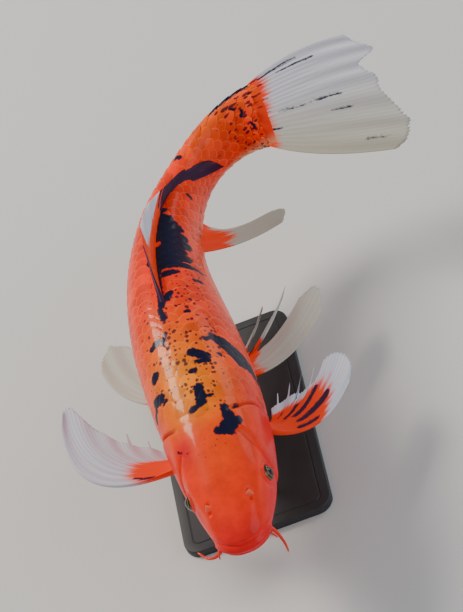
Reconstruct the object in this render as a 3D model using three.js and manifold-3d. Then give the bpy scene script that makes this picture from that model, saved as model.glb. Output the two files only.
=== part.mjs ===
// A koi carp, life size, as a still museum model held over a steel base by two short rods.
// Millimetres, +Z up. The fish heads along -Y and its left side faces +X.
// Fish coordinates: `station` runs from 0 at the snout to 1 at the root of the tail fin,
// `back`, `left` and `up` are lengths along the bent body's own axes at a station,
// and `angle` goes round a cross section in degrees from the ridge of the back towards the left.
import * as THREE from "three";
import { mergeVertices } from "three/addons/utils/BufferGeometryUtils.js";
import Module from "manifold-3d";

const wasm = await Module();
wasm.setup();

// ---- Driving dimensions -------------------------------------------------------------------

const STANDARD_LENGTH = 500; // snout to the root of the tail fin
const AXIS_HEIGHT = 118; // the body's axis over the floor, at half its length
const PART_GAP = 0.3; // slit between neighbouring parts

// Bend of the body: [station, degrees]. A positive heading swings the rear to the left,
// a positive pitch lifts it, and a positive roll lifts the left side.
const HEADING = [[0, 0], [0.2, -3], [0.4, -5], [0.6, 3], [0.8, 39], [1, 110]];
const PITCH = [[0, -3], [0.5, 0], [1, 19]];
const ROLL = [[0, 0], [0.5, -1], [0.7, -7], [0.85, -6], [1, 44]];

// Half sizes of the body about its axis, as shares of the standard length: [station, share].
const BACK_RISE = [
  [0, 0.02], [0.05, 0.045], [0.1, 0.068], [0.2, 0.101], [0.3, 0.119], [0.43, 0.129],
  [0.55, 0.12], [0.7, 0.089], [0.82, 0.063], [0.92, 0.055], [1, 0.059],
];
const BELLY_DROP = [
  [0, 0.02], [0.05, 0.042], [0.1, 0.061], [0.2, 0.092], [0.3, 0.111], [0.43, 0.119],
  [0.55, 0.109], [0.7, 0.08], [0.82, 0.056], [0.92, 0.049], [1, 0.055],
];
const HALF_WIDTH = [
  [0, 0.034], [0.05, 0.052], [0.1, 0.065], [0.2, 0.08], [0.3, 0.087], [0.43, 0.0875],
  [0.55, 0.076], [0.7, 0.052], [0.82, 0.034], [0.92, 0.023], [1, 0.015],
];
const SNOUT_LENGTH = 0.035; // stretch over which the blunt snout rounds off to a point
const SNOUT_POWER = 2.5;
const SECTION_POWER = 2.3; // 2 is an ellipse, more is squarer

// Where the flesh is parted. The rear edge of the head bows back over the gill covers.
const GILL_EDGE = [[0, 0.198], [35, 0.205], [75, 0.238], [110, 0.242], [140, 0.215], [180, 0.16]];
const TRUNK_SPLIT = 0.46;
const TAIL_SPLIT = 0.72;

const GILL_COVER = {
  front: [[38, 0.165], [75, 0.14], [110, 0.135], [148, 0.15]], // [angle, station]
  rise: 1.2,
  thickness: 4,
};
const EYE = { station: 0.114, angle: 78, radius: 7.5, sunk: 4.2 };
const NOSTRIL = { station: 0.062, angle: 36, length: 8, width: 5, height: 5 };

// Lips, from corner to corner of the mouth: places as shares of the standard length.
const LIPS = {
  lip_upper: { front: 0.005, corner: 0.034, halfWidth: 0.041, frontUp: -0.002, cornerUp: -0.014,
    radius: 4.4, cornerRadius: 2.6 },
  lip_lower: { front: 0.01, corner: 0.036, halfWidth: 0.038, frontUp: -0.018, cornerUp: -0.021,
    radius: 4, cornerRadius: 2.4 },
};

// Barbels: [back, left, up] of root, bends and tip from the axis at their station. The long one
// on the right swings out and back, the others trail down and forwards.
const BARBELS = {
  barbel_long_left: { station: 0.036, rootRadius: 2, tipRadius: 0.7,
    path: [[3, 18, -8], [0, 23, -12], [-8, 27, -19], [-16, 28, -24]] },
  barbel_long_right: { station: 0.036, rootRadius: 2, tipRadius: 0.7,
    path: [[3, -18, -8], [-2, -25, -14], [1, -34, -17], [9, -41, -15]] },
  barbel_short_left: { station: 0.022, rootRadius: 1.5, tipRadius: 0.6,
    path: [[3, 14, -1], [0, 19, -2], [-3, 23, -5], [-4, 25, -9]] },
  barbel_short_right: { station: 0.022, rootRadius: 1.5, tipRadius: 0.6,
    path: [[3, -14, -1], [0, -19, -2], [-3, -22, -5], [-5, -23, -9]] },
};

// Paired fins: rays as [back, left, up] from the axis at the fin's station. `roots` are the two
// ends of the fin's base, inside the body. The other rays lie evenly between them.
const PAIRED_FINS = {
  fin_pectoral_left: {
    station: 0.245, rootThickness: 5, tipThickness: 0.8,
    roots: [[3, 38, -20], [20, 38, -30]],
    bends: [[-18, 76, -38], [-6, 77, -38], [2, 76, -37], [10, 72, -36], [12, 64, -34],
      [18, 58, -32], [18, 50, -30], [18, 44, -28]],
    tips: [[50, 114, -45], [68, 119, -45], [83, 112, -45], [80, 98, -41], [69, 85, -37],
      [60, 71, -33], [51, 58, -30], [41, 45, -26]],
  },
  fin_pectoral_right: {
    station: 0.245, rootThickness: 5, tipThickness: 0.8,
    roots: [[3, -38, -20], [20, -38, -30]],
    bends: [[-22, -137, 0], [-4, -122, 0], [8, -107, -2], [14, -94, -6], [17, -83, -10],
      [17, -71, -14], [18, -59, -19], [21, -47, -24]],
    tips: [[80, -119, 10], [95, -113, 7], [86, -101, 2], [72, -90, -4], [60, -80, -9],
      [53, -69, -14], [44, -58, -18], [34, -49, -22]],
  },
  fin_pelvic_left: {
    station: 0.46, rootThickness: 4, tipThickness: 0.8,
    roots: [[-14, 24, -42], [6, 22, -42]],
    bends: [[-24, 70, -54], [-8, 68, -54], [0, 61, -53], [5, 54, -52], [8, 46, -50],
      [10, 38, -49], [9, 30, -47]],
    tips: [[45, 118, -58], [68, 116, -58], [67, 103, -57], [66, 89, -56], [58, 74, -54],
      [50, 58, -51], [33, 39, -48]],
  },
  fin_pelvic_right: {
    station: 0.46, rootThickness: 4, tipThickness: 0.8,
    roots: [[-14, -24, -42], [6, -22, -42]],
    bends: [[10, -78, -54], [16, -70, -53], [19, -60, -52], [19, -48, -50], [15, -36, -48]],
    tips: [[70, -86, -55], [90, -80, -55], [93, -69, -54], [80, -55, -52], [50, -42, -50]],
  },
};

// Fins on the midline: each ray has its own station, and its bend and tip are [back, left, up]
// from its root, which sits `sunk` mm inside the ridge or keel.
const RIDGE_ANGLE = 0;
const KEEL_ANGLE = 180;
const MIDLINE_FINS = {
  fin_dorsal: {
    angle: RIDGE_ANGLE, sunk: 4, rootThickness: 4.5, tipThickness: 0.8,
    rays: [
      { station: 0.44, bend: [26, 0, 15], tip: [66, 1, 18] },
      { station: 0.5, bend: [24, 1, 14], tip: [61, 3, 16] },
      { station: 0.56, bend: [22, 2, 12], tip: [56, 5, 11] },
      { station: 0.62, bend: [18, 1, 10], tip: [43, 4, 8] },
      { station: 0.67, bend: [16, 2, 9], tip: [38, 6, 3] },
      { station: 0.71, bend: [20, 5, 5], tip: [44, 13, -5] },
      { station: 0.745, bend: [20, 12, 0], tip: [48, 22, -15] },
      { station: 0.78, bend: [9, 20, -7], tip: [42, 27, -32] },
    ],
  },
  fin_anal: {
    angle: KEEL_ANGLE, sunk: 4, rootThickness: 4, tipThickness: 0.8,
    rays: [
      { station: 0.72, bend: [14, 36, -26], tip: [46, 80, -22] },
      { station: 0.735, bend: [20, 36, -26], tip: [54, 76, -22] },
      { station: 0.75, bend: [16, 26, -24], tip: [40, 56, -26] },
      { station: 0.765, bend: [9, 17, -20], tip: [20, 38, -30] },
      { station: 0.78, bend: [3, 11, -17], tip: [4, 24, -30] },
    ],
  },
};

// Tail fin: rays fan out from the root of the tail: `root` is the height there, bend and tip
// are [back, left, up] from the axis. Its fleshy root thins out quickly.
const TAIL_FIN = {
  station: 1, rootBack: -4, rootThickness: 13, tipThickness: 0.8, taper: 6,
  rays: [
    { root: 29, bend: [44, -3, 46], tip: [98, -8, 38] },
    { root: 25, bend: [46, -3, 36], tip: [109, -9, 28] },
    { root: 18, bend: [46, -3, 26], tip: [121, -10, 17] },
    { root: 10, bend: [44, -3, 14], tip: [105, -9, 9] },
    { root: 2, bend: [44, -3, 4], tip: [113, -10, -2] },
    { root: -6, bend: [44, -3, -10], tip: [118, -10, -20] },
    { root: -14, bend: [44, -3, -24], tip: [126, -11, -40] },
    { root: -20, bend: [42, -3, -40], tip: [131, -11, -56] },
    { root: -26, bend: [36, -3, -54], tip: [113, -10, -69] },
  ],
};

const STAND = {
  base: { length: 230, width: 130, height: 8, cornerRadius: 14, bevel: 1 },
  rod: { radius: 4, stations: { front: 0.31, rear: 0.6 } },
  collar: { radius: 12, height: 10, bevel: 2 },
};

// Fineness of the meshes.
const AROUND = 28;
const RING_STEP = 0.03;
const SNOUT_STATIONS = [0.0004, 0.003, 0.008, 0.016, 0.025];
const SPINE_STEPS = 400;
const FIN_STEPS = { perRay: 2, along: 5 };

// ---- Colours ------------------------------------------------------------------------------

const material = (color, roughness, metalness = 0) =>
  new THREE.MeshStandardMaterial({ color, roughness, metalness });
const MATERIALS = {
  redOrangeSkin: material(0xf0501c, 0.35),
  finMembrane: material(0xd8dade, 0.45),
  orangeFin: material(0xe2643a, 0.45),
  darkEye: material(0x14110f, 0.1),
  powderCoatedSteel: material(0x2c2e30, 0.6, 0.2),
  brushedSteel: material(0xb4b7ba, 0.35, 1),
};

// ---- The bent body ------------------------------------------------------------------------

/** Smooth curve through a table of [place, value] rows, level with their neighbours' slope. */
function smooth(table, place) {
  const last = table.length - 1;
  const x = THREE.MathUtils.clamp(place, table[0][0], table[last][0]);
  let row = 0;
  while (row < last - 1 && x > table[row + 1][0]) row += 1;
  const slope = (index) => {
    const before = table[Math.max(index - 1, 0)];
    const after = table[Math.min(index + 1, last)];
    return (after[1] - before[1]) / (after[0] - before[0]);
  };
  const [x0, y0] = table[row];
  const [x1, y1] = table[row + 1];
  const span = x1 - x0;
  const t = (x - x0) / span;
  const rise = t * t * (3 - 2 * t);
  const lead = span * t * (1 - t) * ((1 - t) * slope(row) - t * slope(row + 1));
  return y0 + (y1 - y0) * rise + lead;
}

/** Directions of the body's own axes at a station. */
function axesAt(station) {
  const heading = THREE.MathUtils.degToRad(smooth(HEADING, station));
  const pitch = THREE.MathUtils.degToRad(smooth(PITCH, station));
  const roll = THREE.MathUtils.degToRad(smooth(ROLL, station));
  const back = new THREE.Vector3(
    Math.sin(heading) * Math.cos(pitch), Math.cos(heading) * Math.cos(pitch), Math.sin(pitch));
  const level = new THREE.Vector3(Math.cos(heading), -Math.sin(heading), 0);
  const upright = new THREE.Vector3().crossVectors(level, back);
  const left = level.clone()
    .multiplyScalar(Math.cos(roll))
    .addScaledVector(upright, Math.sin(roll));
  const up = upright.clone()
    .multiplyScalar(Math.cos(roll))
    .addScaledVector(level, -Math.sin(roll));
  return { back, left, up };
}

/** Points of the axis at even steps, worked out by following its direction from the snout. */
const AXIS_POINTS = [new THREE.Vector3()];
for (let step = 0; step < SPINE_STEPS; step += 1) {
  const middle = axesAt((step + 0.5) / SPINE_STEPS).back;
  const next = AXIS_POINTS[step].clone().addScaledVector(middle, STANDARD_LENGTH / SPINE_STEPS);
  AXIS_POINTS.push(next);
}

/** A place given as lengths along the body's axes at a station. */
function fishPoint(station, [back, left, up]) {
  const axes = axesAt(station);
  const steps = THREE.MathUtils.clamp(station, 0, 1) * SPINE_STEPS;
  const index = Math.min(Math.floor(steps), SPINE_STEPS - 1);
  return AXIS_POINTS[index].clone()
    .lerp(AXIS_POINTS[index + 1], steps - index)
    .addScaledVector(axes.back, back)
    .addScaledVector(axes.left, left)
    .addScaledVector(axes.up, up);
}

/** A place on the body's surface, or `proud` mm outside it. */
function bodyPoint(station, angle, proud = 0) {
  const towardsTip = 1 - THREE.MathUtils.clamp(station / SNOUT_LENGTH, 0, 1);
  const blunt = (1 - towardsTip ** SNOUT_POWER) ** (1 / SNOUT_POWER);
  const turn = THREE.MathUtils.degToRad(angle);
  const around = (value) => Math.sign(value) * Math.abs(value) ** (2 / SECTION_POWER);
  const half = (table) => smooth(table, station) * STANDARD_LENGTH * blunt + proud;
  const height = Math.cos(turn) >= 0 ? half(BACK_RISE) : half(BELLY_DROP);
  const ahead = -proud * towardsTip ** SNOUT_POWER;
  return fishPoint(station, [ahead, half(HALF_WIDTH) * around(Math.sin(turn)),
    height * around(Math.cos(turn))]);
}

// ---- Solids from rings and grids ----------------------------------------------------------

/** Closed mesh through equal rings of points, with a fan over each end. */
function loft(rings) {
  const sides = rings[0].length;
  const positions = rings.flat().flatMap((point) => point.toArray());
  const faces = [];
  for (let ring = 0; ring < rings.length - 1; ring += 1) {
    for (let side = 0; side < sides; side += 1) {
      const next = (side + 1) % sides;
      const a = ring * sides + side;
      const b = ring * sides + next;
      faces.push(a, b, b + sides, a, b + sides, a + sides);
    }
  }
  const ends = [[0, rings[0], true], [(rings.length - 1) * sides, rings.at(-1), false]];
  ends.forEach(([start, ring, first]) => {
    const centre = ring.reduce((sum, point) => sum.add(point), new THREE.Vector3());
    const hub = positions.length / 3;
    positions.push(...centre.divideScalar(sides).toArray());
    for (let side = 0; side < sides; side += 1) {
      const a = start + side;
      const b = start + ((side + 1) % sides);
      faces.push(...(first ? [hub, b, a] : [hub, a, b]));
    }
  });
  return meshGeometry(positions, faces);
}

/** Geometry of indexed faces, turned so that they point out. */
function meshGeometry(positions, faces) {
  const corner = (index) => new THREE.Vector3().fromArray(positions, index * 3);
  let volume = 0;
  for (let face = 0; face < faces.length; face += 3) {
    const [a, b, c] = faces.slice(face, face + 3).map(corner);
    volume += a.dot(b.cross(c));
  }
  const outward = volume > 0 ? faces : faces.map((_, i) => faces[i - (i % 3) + [0, 2, 1][i % 3]]);
  const geometry = new THREE.BufferGeometry();
  geometry.setAttribute("position", new THREE.Float32BufferAttribute(positions, 3));
  geometry.setIndex(outward);
  return geometry;
}

/** Closed plate between two grids of the same shape: place(u, v, side) with side +1 or -1. */
function plate(place, acrossCount, alongCount) {
  const rows = [];
  for (let i = 0; i <= acrossCount; i += 1) {
    const row = [];
    for (let j = 0; j <= alongCount; j += 1) row.push([i / acrossCount, j / alongCount]);
    rows.push(row);
  }
  // Each ring runs along a row on the upper side and comes back on the lower side.
  const rings = rows.map((row) => [
    ...row.map(([u, v]) => place(u, v, 1)),
    ...row.map(([u, v]) => place(u, v, -1)).reverse(),
  ]);
  return stripLoft(rings);
}

/** Closed mesh through flat rings, whose ends are stitched across instead of fanned. */
function stripLoft(rings) {
  const sides = rings[0].length;
  const positions = rings.flat().flatMap((point) => point.toArray());
  const faces = [];
  for (let ring = 0; ring < rings.length - 1; ring += 1) {
    for (let side = 0; side < sides; side += 1) {
      const a = ring * sides + side;
      const b = ring * sides + ((side + 1) % sides);
      faces.push(a, b, b + sides, a, b + sides, a + sides);
    }
  }
  const stitch = (start, flip) => {
    for (let side = 0; side < sides / 2 - 1; side += 1) {
      const a = start + side;
      const d = start + sides - 1 - side;
      faces.push(...(flip ? [a, a + 1, d - 1, a, d - 1, d] : [a, d - 1, a + 1, a, d, d - 1]));
    }
  };
  stitch(0, false);
  stitch((rings.length - 1) * sides, true);
  return meshGeometry(positions, faces);
}

/** Tube of changing radius along a curve, closed at both ends. */
function taperedTube(curve, radiusAt, steps, sides) {
  const rings = [];
  for (let step = 0; step <= steps; step += 1) {
    const t = step / steps;
    const tangent = curve.getTangentAt(t);
    const across = new THREE.Vector3(0, 0, 1).cross(tangent).normalize();
    const over = new THREE.Vector3().crossVectors(tangent, across);
    const ring = [];
    for (let side = 0; side < sides; side += 1) {
      const turn = (side / sides) * 2 * Math.PI;
      ring.push(curve.getPointAt(t)
        .addScaledVector(across, Math.cos(turn) * radiusAt(t))
        .addScaledVector(over, Math.sin(turn) * radiusAt(t)));
    }
    rings.push(ring);
  }
  return loft(rings);
}

/** Solid for cutting and joining, from a closed geometry. */
function solidOf(geometry) {
  const bare = geometry.clone();
  bare.deleteAttribute("normal");
  bare.deleteAttribute("uv");
  const merged = mergeVertices(bare, 1e-4);
  return new wasm.Manifold(new wasm.Mesh({
    numProp: 3,
    vertProperties: new Float32Array(merged.attributes.position.array),
    triVerts: new Uint32Array(merged.index.array),
  }));
}

/** Geometry of a solid that was cut or joined. */
function geometryOf(solid) {
  const mesh = solid.getMesh();
  const geometry = new THREE.BufferGeometry();
  geometry.setAttribute("position", new THREE.BufferAttribute(mesh.vertProperties, 3));
  geometry.setIndex(new THREE.BufferAttribute(mesh.triVerts, 1));
  return geometry;
}

const cut = (geometry, cutter) => geometryOf(solidOf(geometry).subtract(solidOf(cutter)));

// ---- Flesh --------------------------------------------------------------------------------

/** Rings of the body between two edges, each a station that may change with the angle. */
function fleshRings(fromEdge, toEdge, proud = 0) {
  const middle = 90;
  const count = Math.ceil((toEdge(middle) - fromEdge(middle)) / RING_STEP);
  const rings = [];
  for (let ring = 0; ring <= count; ring += 1) {
    const share = ring / count;
    rings.push(ringAlong(
      (fold) => THREE.MathUtils.lerp(fromEdge(fold), toEdge(fold), share), proud));
  }
  return rings;
}

/** One ring of the body along an edge: a station for each angle, folded to 0 to 180. */
function ringAlong(edge, proud) {
  const points = [];
  for (let side = 0; side < AROUND; side += 1) {
    const angle = (side / AROUND) * 360;
    points.push(bodyPoint(edge(Math.min(angle, 360 - angle)), angle, proud));
  }
  return points;
}

const HALF_GAP = PART_GAP / 2 / STANDARD_LENGTH;
const gillEdge = (angle) => smooth(GILL_EDGE, angle);
const straightEdge = (station) => () => station;

/** Rings from the snout to an edge, closer together where the blunt snout rounds off. */
function ringsFromSnout(toEdge, proud) {
  const snout = SNOUT_STATIONS.map((station) => ringAlong(straightEdge(station), proud));
  return [...snout, ...fleshRings(straightEdge(SNOUT_LENGTH), toEdge, proud)];
}

/** Gill cover plate on one side, grown all round by `grow` mm where it is to be a cutter. */
function gillCoverGeometry(side, grow) {
  const margin = grow / STANDARD_LENGTH;
  const [topAngle] = GILL_COVER.front[0];
  const [lowAngle] = GILL_COVER.front[GILL_COVER.front.length - 1];
  const growAngle = THREE.MathUtils.radToDeg(grow / (0.08 * STANDARD_LENGTH));
  return plate((u, v, face) => {
    const angle = THREE.MathUtils.lerp(topAngle - growAngle, lowAngle + growAngle, u);
    const front = smooth(GILL_COVER.front, angle) - margin;
    const rear = gillEdge(angle) + margin * 2;
    const station = THREE.MathUtils.lerp(front, rear, v);
    const swell = Math.sin(Math.PI * u) * Math.sin((Math.PI * v) / 2);
    const outer = grow > 0 ? 2 * GILL_COVER.rise : GILL_COVER.rise * swell;
    const proud = face > 0 ? outer : -GILL_COVER.thickness - grow;
    return bodyPoint(station, side * angle, proud);
  }, 8, 4);
}

/** Front trunk grown forward by half a gap and well outwards, which trims the head's parts. */
const trunkCutter = loft(
  fleshRings((angle) => gillEdge(angle) - HALF_GAP, straightEdge(0.3), 2 * GILL_COVER.rise));

/** Body surface grown by the gap, which trims whatever meets it. */
const bodyCutter = loft(ringsFromSnout(straightEdge(1 - HALF_GAP), PART_GAP));

// ---- Fins ---------------------------------------------------------------------------------

/** Thin plate through fin rays, each a root, a bend and a tip, thinning towards its margin. */
function finGeometry(rays, { rootThickness, tipThickness, taper = 2 }) {
  const through = (key) =>
    new THREE.CatmullRomCurve3(rays.map((ray) => ray[key]), false, "catmullrom", 0.5);
  const [roots, bends, tips] = ["root", "bend", "tip"].map(through);
  const middle = (u, v) => new THREE.QuadraticBezierCurve3(
    roots.getPoint(u), bends.getPoint(u), tips.getPoint(u)).getPoint(v);
  const nudge = 0.01;
  const normal = (u, v) => {
    const across = middle(Math.min(u + nudge, 1), v).sub(middle(Math.max(u - nudge, 0), v));
    const along = middle(u, Math.min(v + nudge, 1)).sub(middle(u, Math.max(v - nudge, 0)));
    return across.cross(along).normalize();
  };
  return plate((u, v, face) => {
    const thickness = THREE.MathUtils.lerp(tipThickness, rootThickness, (1 - v) ** taper);
    return middle(u, v).addScaledVector(normal(u, v), (face * thickness) / 2);
  }, (rays.length - 1) * FIN_STEPS.perRay, FIN_STEPS.along);
}

function pairedFin(fin) {
  const place = (triple) => fishPoint(fin.station, triple);
  const rays = fin.tips.map((tip, index) => {
    const share = index / (fin.tips.length - 1);
    const root = fin.roots[0].map(
      (value, axis) => THREE.MathUtils.lerp(value, fin.roots[1][axis], share));
    return { root: place(root), bend: place(fin.bends[index]), tip: place(tip) };
  });
  return cut(finGeometry(rays, fin), bodyCutter);
}

function midlineFin(fin) {
  const rays = fin.rays.map(({ station, bend, tip }) => {
    const root = bodyPoint(station, fin.angle, -fin.sunk);
    const { back, left, up } = axesAt(station);
    const from = (triple) => root.clone().addScaledVector(back, triple[0])
      .addScaledVector(left, triple[1]).addScaledVector(up, triple[2]);
    return { root, bend: from(bend), tip: from(tip) };
  });
  return cut(finGeometry(rays, fin), bodyCutter);
}

function tailFin(fin) {
  const rays = fin.rays.map(({ root, bend, tip }) => ({
    root: fishPoint(fin.station, [fin.rootBack, 0, root]),
    bend: fishPoint(fin.station, bend),
    tip: fishPoint(fin.station, tip),
  }));
  return cut(finGeometry(rays, fin), bodyCutter);
}

// ---- Small parts of the head --------------------------------------------------------------

const eyeCentre = (side) => bodyPoint(EYE.station, side * EYE.angle, -EYE.sunk);

function eyeGeometry(side, grow = 0) {
  const ball = new THREE.SphereGeometry(EYE.radius + grow, 14, 10);
  const centre = eyeCentre(side);
  return ball.translate(centre.x, centre.y, centre.z);
}

/** Flap over a nostril: the part of a flattened ball that stands out of the snout. */
function nostrilGeometry(side) {
  const { station, angle, length, width, height } = NOSTRIL;
  const { back, left, up } = axesAt(station);
  const seat = bodyPoint(station, side * angle);
  const flap = new THREE.SphereGeometry(0.5, 10, 6).scale(width, length, height);
  const lying = new THREE.Matrix4().makeBasis(left, back, up).setPosition(seat);
  return cut(flap.applyMatrix4(lying), bodyCutter);
}

function lipGeometry(lip, grow = 0) {
  const place = (back, left, up) =>
    fishPoint(0, [back, left, up].map((share) => share * STANDARD_LENGTH));
  const corner = (side) => place(lip.corner, side * lip.halfWidth, lip.cornerUp);
  const cheek = (side) => place(
    THREE.MathUtils.lerp(lip.front, lip.corner, 0.3), side * lip.halfWidth * 0.74,
    THREE.MathUtils.lerp(lip.frontUp, lip.cornerUp, 0.35));
  const curve = new THREE.CatmullRomCurve3(
    [corner(-1), cheek(-1), place(lip.front, 0, lip.frontUp), cheek(1), corner(1)]);
  const radiusAt = (t) =>
    grow + THREE.MathUtils.lerp(lip.cornerRadius, lip.radius, Math.sin(Math.PI * t));
  return taperedTube(curve, radiusAt, 10, 8);
}

function barbelGeometry(barbel) {
  const curve = new THREE.CatmullRomCurve3(
    barbel.path.map((triple) => fishPoint(barbel.station, triple)));
  const radiusAt = (t) => THREE.MathUtils.lerp(barbel.rootRadius, barbel.tipRadius, t);
  const whole = solidOf(taperedTube(curve, radiusAt, 7, 8)).subtract(solidOf(bodyCutter));
  const lips = Object.values(LIPS).map((lip) => solidOf(lipGeometry(lip, PART_GAP)));
  return geometryOf(lips.reduce((rest, lip) => rest.subtract(lip), whole));
}

// ---- Stand --------------------------------------------------------------------------------

const rodFoot = (station) => {
  const foot = fishPoint(station, [0, 0, 0]);
  return new THREE.Vector3(foot.x, foot.y, 0);
};
const floorLevel = fishPoint(0.5, [0, 0, 0]).z - AXIS_HEIGHT;

/** Flat plate with round corners and a bevelled edge, centred on its underside. */
function standBaseGeometry({ length, width, height, cornerRadius, bevel }) {
  const halfX = width / 2 - bevel;
  const halfY = length / 2 - bevel;
  const round = cornerRadius - bevel;
  const outline = new THREE.Shape();
  outline.moveTo(-halfX + round, -halfY);
  outline.lineTo(halfX - round, -halfY);
  outline.absarc(halfX - round, -halfY + round, round, -Math.PI / 2, 0);
  outline.absarc(halfX - round, halfY - round, round, 0, Math.PI / 2);
  outline.absarc(-halfX + round, halfY - round, round, Math.PI / 2, Math.PI);
  outline.absarc(-halfX + round, -halfY + round, round, Math.PI, 1.5 * Math.PI);
  return new THREE.ExtrudeGeometry(outline, {
    depth: height - 2 * bevel, bevelThickness: bevel, bevelSize: bevel, bevelSegments: 1,
    curveSegments: 4,
  }).translate(0, 0, bevel);
}

/** Ring with a bevelled top edge that holds the foot of a rod. */
function collarGeometry({ radius, height, bevel }) {
  const bore = STAND.rod.radius + PART_GAP;
  const profile = [
    [bore, 0], [radius, 0], [radius, height - bevel], [radius - bevel, height], [bore, height],
    [bore, 0],
  ];
  const ring = new THREE.LatheGeometry(profile.map(([x, y]) => new THREE.Vector2(x, y)), 20);
  return ring.rotateX(Math.PI / 2);
}

/** Upright rod from the base to the belly, its top shaped to the belly. */
function rodGeometry(station, bottom) {
  const top = fishPoint(station, [0, 0, 0]).z;
  const foot = rodFoot(station);
  const rod = new THREE.CylinderGeometry(STAND.rod.radius, STAND.rod.radius, top - bottom, 20)
    .rotateX(Math.PI / 2)
    .translate(foot.x, foot.y, (top + bottom) / 2);
  return cut(rod, bodyCutter);
}

// ---- Assembly -----------------------------------------------------------------------------

const koi = new THREE.Group();

function add(name, geometry, look, parent = koi) {
  const mesh = new THREE.Mesh(geometry, look);
  mesh.name = name;
  parent.add(mesh);
  return mesh;
}

const SIDES = [["left", 1], ["right", -1]];

let head = solidOf(loft(ringsFromSnout(gillEdge, 0))).subtract(solidOf(trunkCutter));
SIDES.forEach(([word, side]) => {
  const gillCover = cut(gillCoverGeometry(side, 0), trunkCutter);
  add(`gill_cover_${word}`, gillCover, MATERIALS.redOrangeSkin);
  add(`eye_${word}`, eyeGeometry(side), MATERIALS.darkEye);
  add(`nostril_${word}`, nostrilGeometry(side), MATERIALS.redOrangeSkin);
  head = head.subtract(solidOf(gillCoverGeometry(side, PART_GAP)));
  head = head.subtract(solidOf(eyeGeometry(side, PART_GAP)));
});
add("head", geometryOf(head), MATERIALS.redOrangeSkin);
const upperLip = lipGeometry(LIPS.lip_upper);
const upperLipCutter = lipGeometry(LIPS.lip_upper, PART_GAP);
add("lip_upper", cut(upperLip, bodyCutter), MATERIALS.redOrangeSkin);
const lowerLip = cut(lipGeometry(LIPS.lip_lower), bodyCutter);
add("lip_lower", cut(lowerLip, upperLipCutter), MATERIALS.redOrangeSkin);
Object.entries(BARBELS).forEach(([name, barbel]) =>
  add(name, barbelGeometry(barbel), MATERIALS.redOrangeSkin));

const flesh = {
  trunk_front: [(angle) => gillEdge(angle) + HALF_GAP, straightEdge(TRUNK_SPLIT - HALF_GAP)],
  trunk_rear: [straightEdge(TRUNK_SPLIT + HALF_GAP), straightEdge(TAIL_SPLIT - HALF_GAP)],
  tail_stem: [straightEdge(TAIL_SPLIT + HALF_GAP), straightEdge(1 - 2 * HALF_GAP)],
};
Object.entries(flesh).forEach(([name, edges]) =>
  add(name, loft(fleshRings(...edges)), MATERIALS.redOrangeSkin));

Object.entries(PAIRED_FINS).forEach(([name, fin]) =>
  add(name, pairedFin(fin), MATERIALS.finMembrane));
Object.entries(MIDLINE_FINS).forEach(([name, fin]) =>
  add(name, midlineFin(fin), MATERIALS.orangeFin));
add("fin_tail", tailFin(TAIL_FIN), MATERIALS.finMembrane);

Object.entries(STAND.rod.stations).forEach(([word, station]) => {
  const baseTop = floorLevel + STAND.base.height + PART_GAP;
  add(`stand_rod_${word}`, rodGeometry(station, baseTop), MATERIALS.brushedSteel);
  const collar = add(`stand_collar_${word}`, collarGeometry(STAND.collar), MATERIALS.brushedSteel);
  collar.position.copy(rodFoot(station)).setZ(baseTop);
});
const base = add("stand_base", standBaseGeometry(STAND.base), MATERIALS.powderCoatedSteel);
const feet = Object.values(STAND.rod.stations).map(rodFoot);
base.position.copy(feet[0]).lerp(feet[1], 0.5).setZ(floorLevel);

// The origin lies on the floor, below the middle of the whole model.
const extent = new THREE.Box3().setFromObject(koi);
koi.position.copy(extent.getCenter(new THREE.Vector3()).setZ(extent.min.z)).negate();
koi.updateMatrixWorld(true);

export default koi;
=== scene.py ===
"""Koi carp, life size, as a still museum model over a steel display stand.

Fish coordinates: `station` runs from 0 at the snout to 1 at the root of the tail fin, and `angle` goes
round a cross section in degrees from the ridge of the back, positive towards the fish's left side.
Places near the body are [back, left, up] in millimetres along the bent body's own axes.
"""

import logging
from dataclasses import dataclass
from enum import Enum
from typing import Callable, Mapping, Sequence

import bpy
import numpy as np
from mathutils import Matrix, Vector


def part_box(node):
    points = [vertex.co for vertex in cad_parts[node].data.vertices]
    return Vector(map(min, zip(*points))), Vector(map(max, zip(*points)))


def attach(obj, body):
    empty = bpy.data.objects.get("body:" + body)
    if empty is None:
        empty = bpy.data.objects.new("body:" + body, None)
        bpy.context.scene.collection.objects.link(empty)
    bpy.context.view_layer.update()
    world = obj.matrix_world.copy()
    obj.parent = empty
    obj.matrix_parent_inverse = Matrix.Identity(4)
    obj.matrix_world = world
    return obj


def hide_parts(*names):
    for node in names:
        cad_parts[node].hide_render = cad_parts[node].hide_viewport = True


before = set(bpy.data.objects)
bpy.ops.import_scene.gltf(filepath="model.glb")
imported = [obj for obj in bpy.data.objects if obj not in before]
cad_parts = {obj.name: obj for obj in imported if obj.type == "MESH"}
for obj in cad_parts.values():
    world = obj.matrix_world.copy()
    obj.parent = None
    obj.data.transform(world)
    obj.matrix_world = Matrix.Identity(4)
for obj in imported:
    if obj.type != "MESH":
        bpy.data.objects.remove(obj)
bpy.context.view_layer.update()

log = logging.getLogger("koi")

MM = 0.001
BODY = "root"
SEED = 36  # of every random choice
WELD = 1e-7  # metres within which two vertices are one
SHARP_EDGE = 30.0  # degrees from which an edge of the stand stays sharp

Table = tuple[tuple[float, float], ...]
Triple = tuple[float, float, float]
Array = np.ndarray
Mesh = tuple[Array, Array]  # vertices, and faces as four indices into them
Socket = bpy.types.NodeSocket
Input = Socket | float | tuple[float, ...]


class Side(Enum):
    """A side of the fish, with the sign of its angles round the body."""

    LEFT = 1
    RIGHT = -1

    @property
    def word(self) -> str:
        """The side as it stands in the names of pieces."""
        return self.name.lower()


# ---- Small helpers --------------------------------------------------------------------------------


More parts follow.
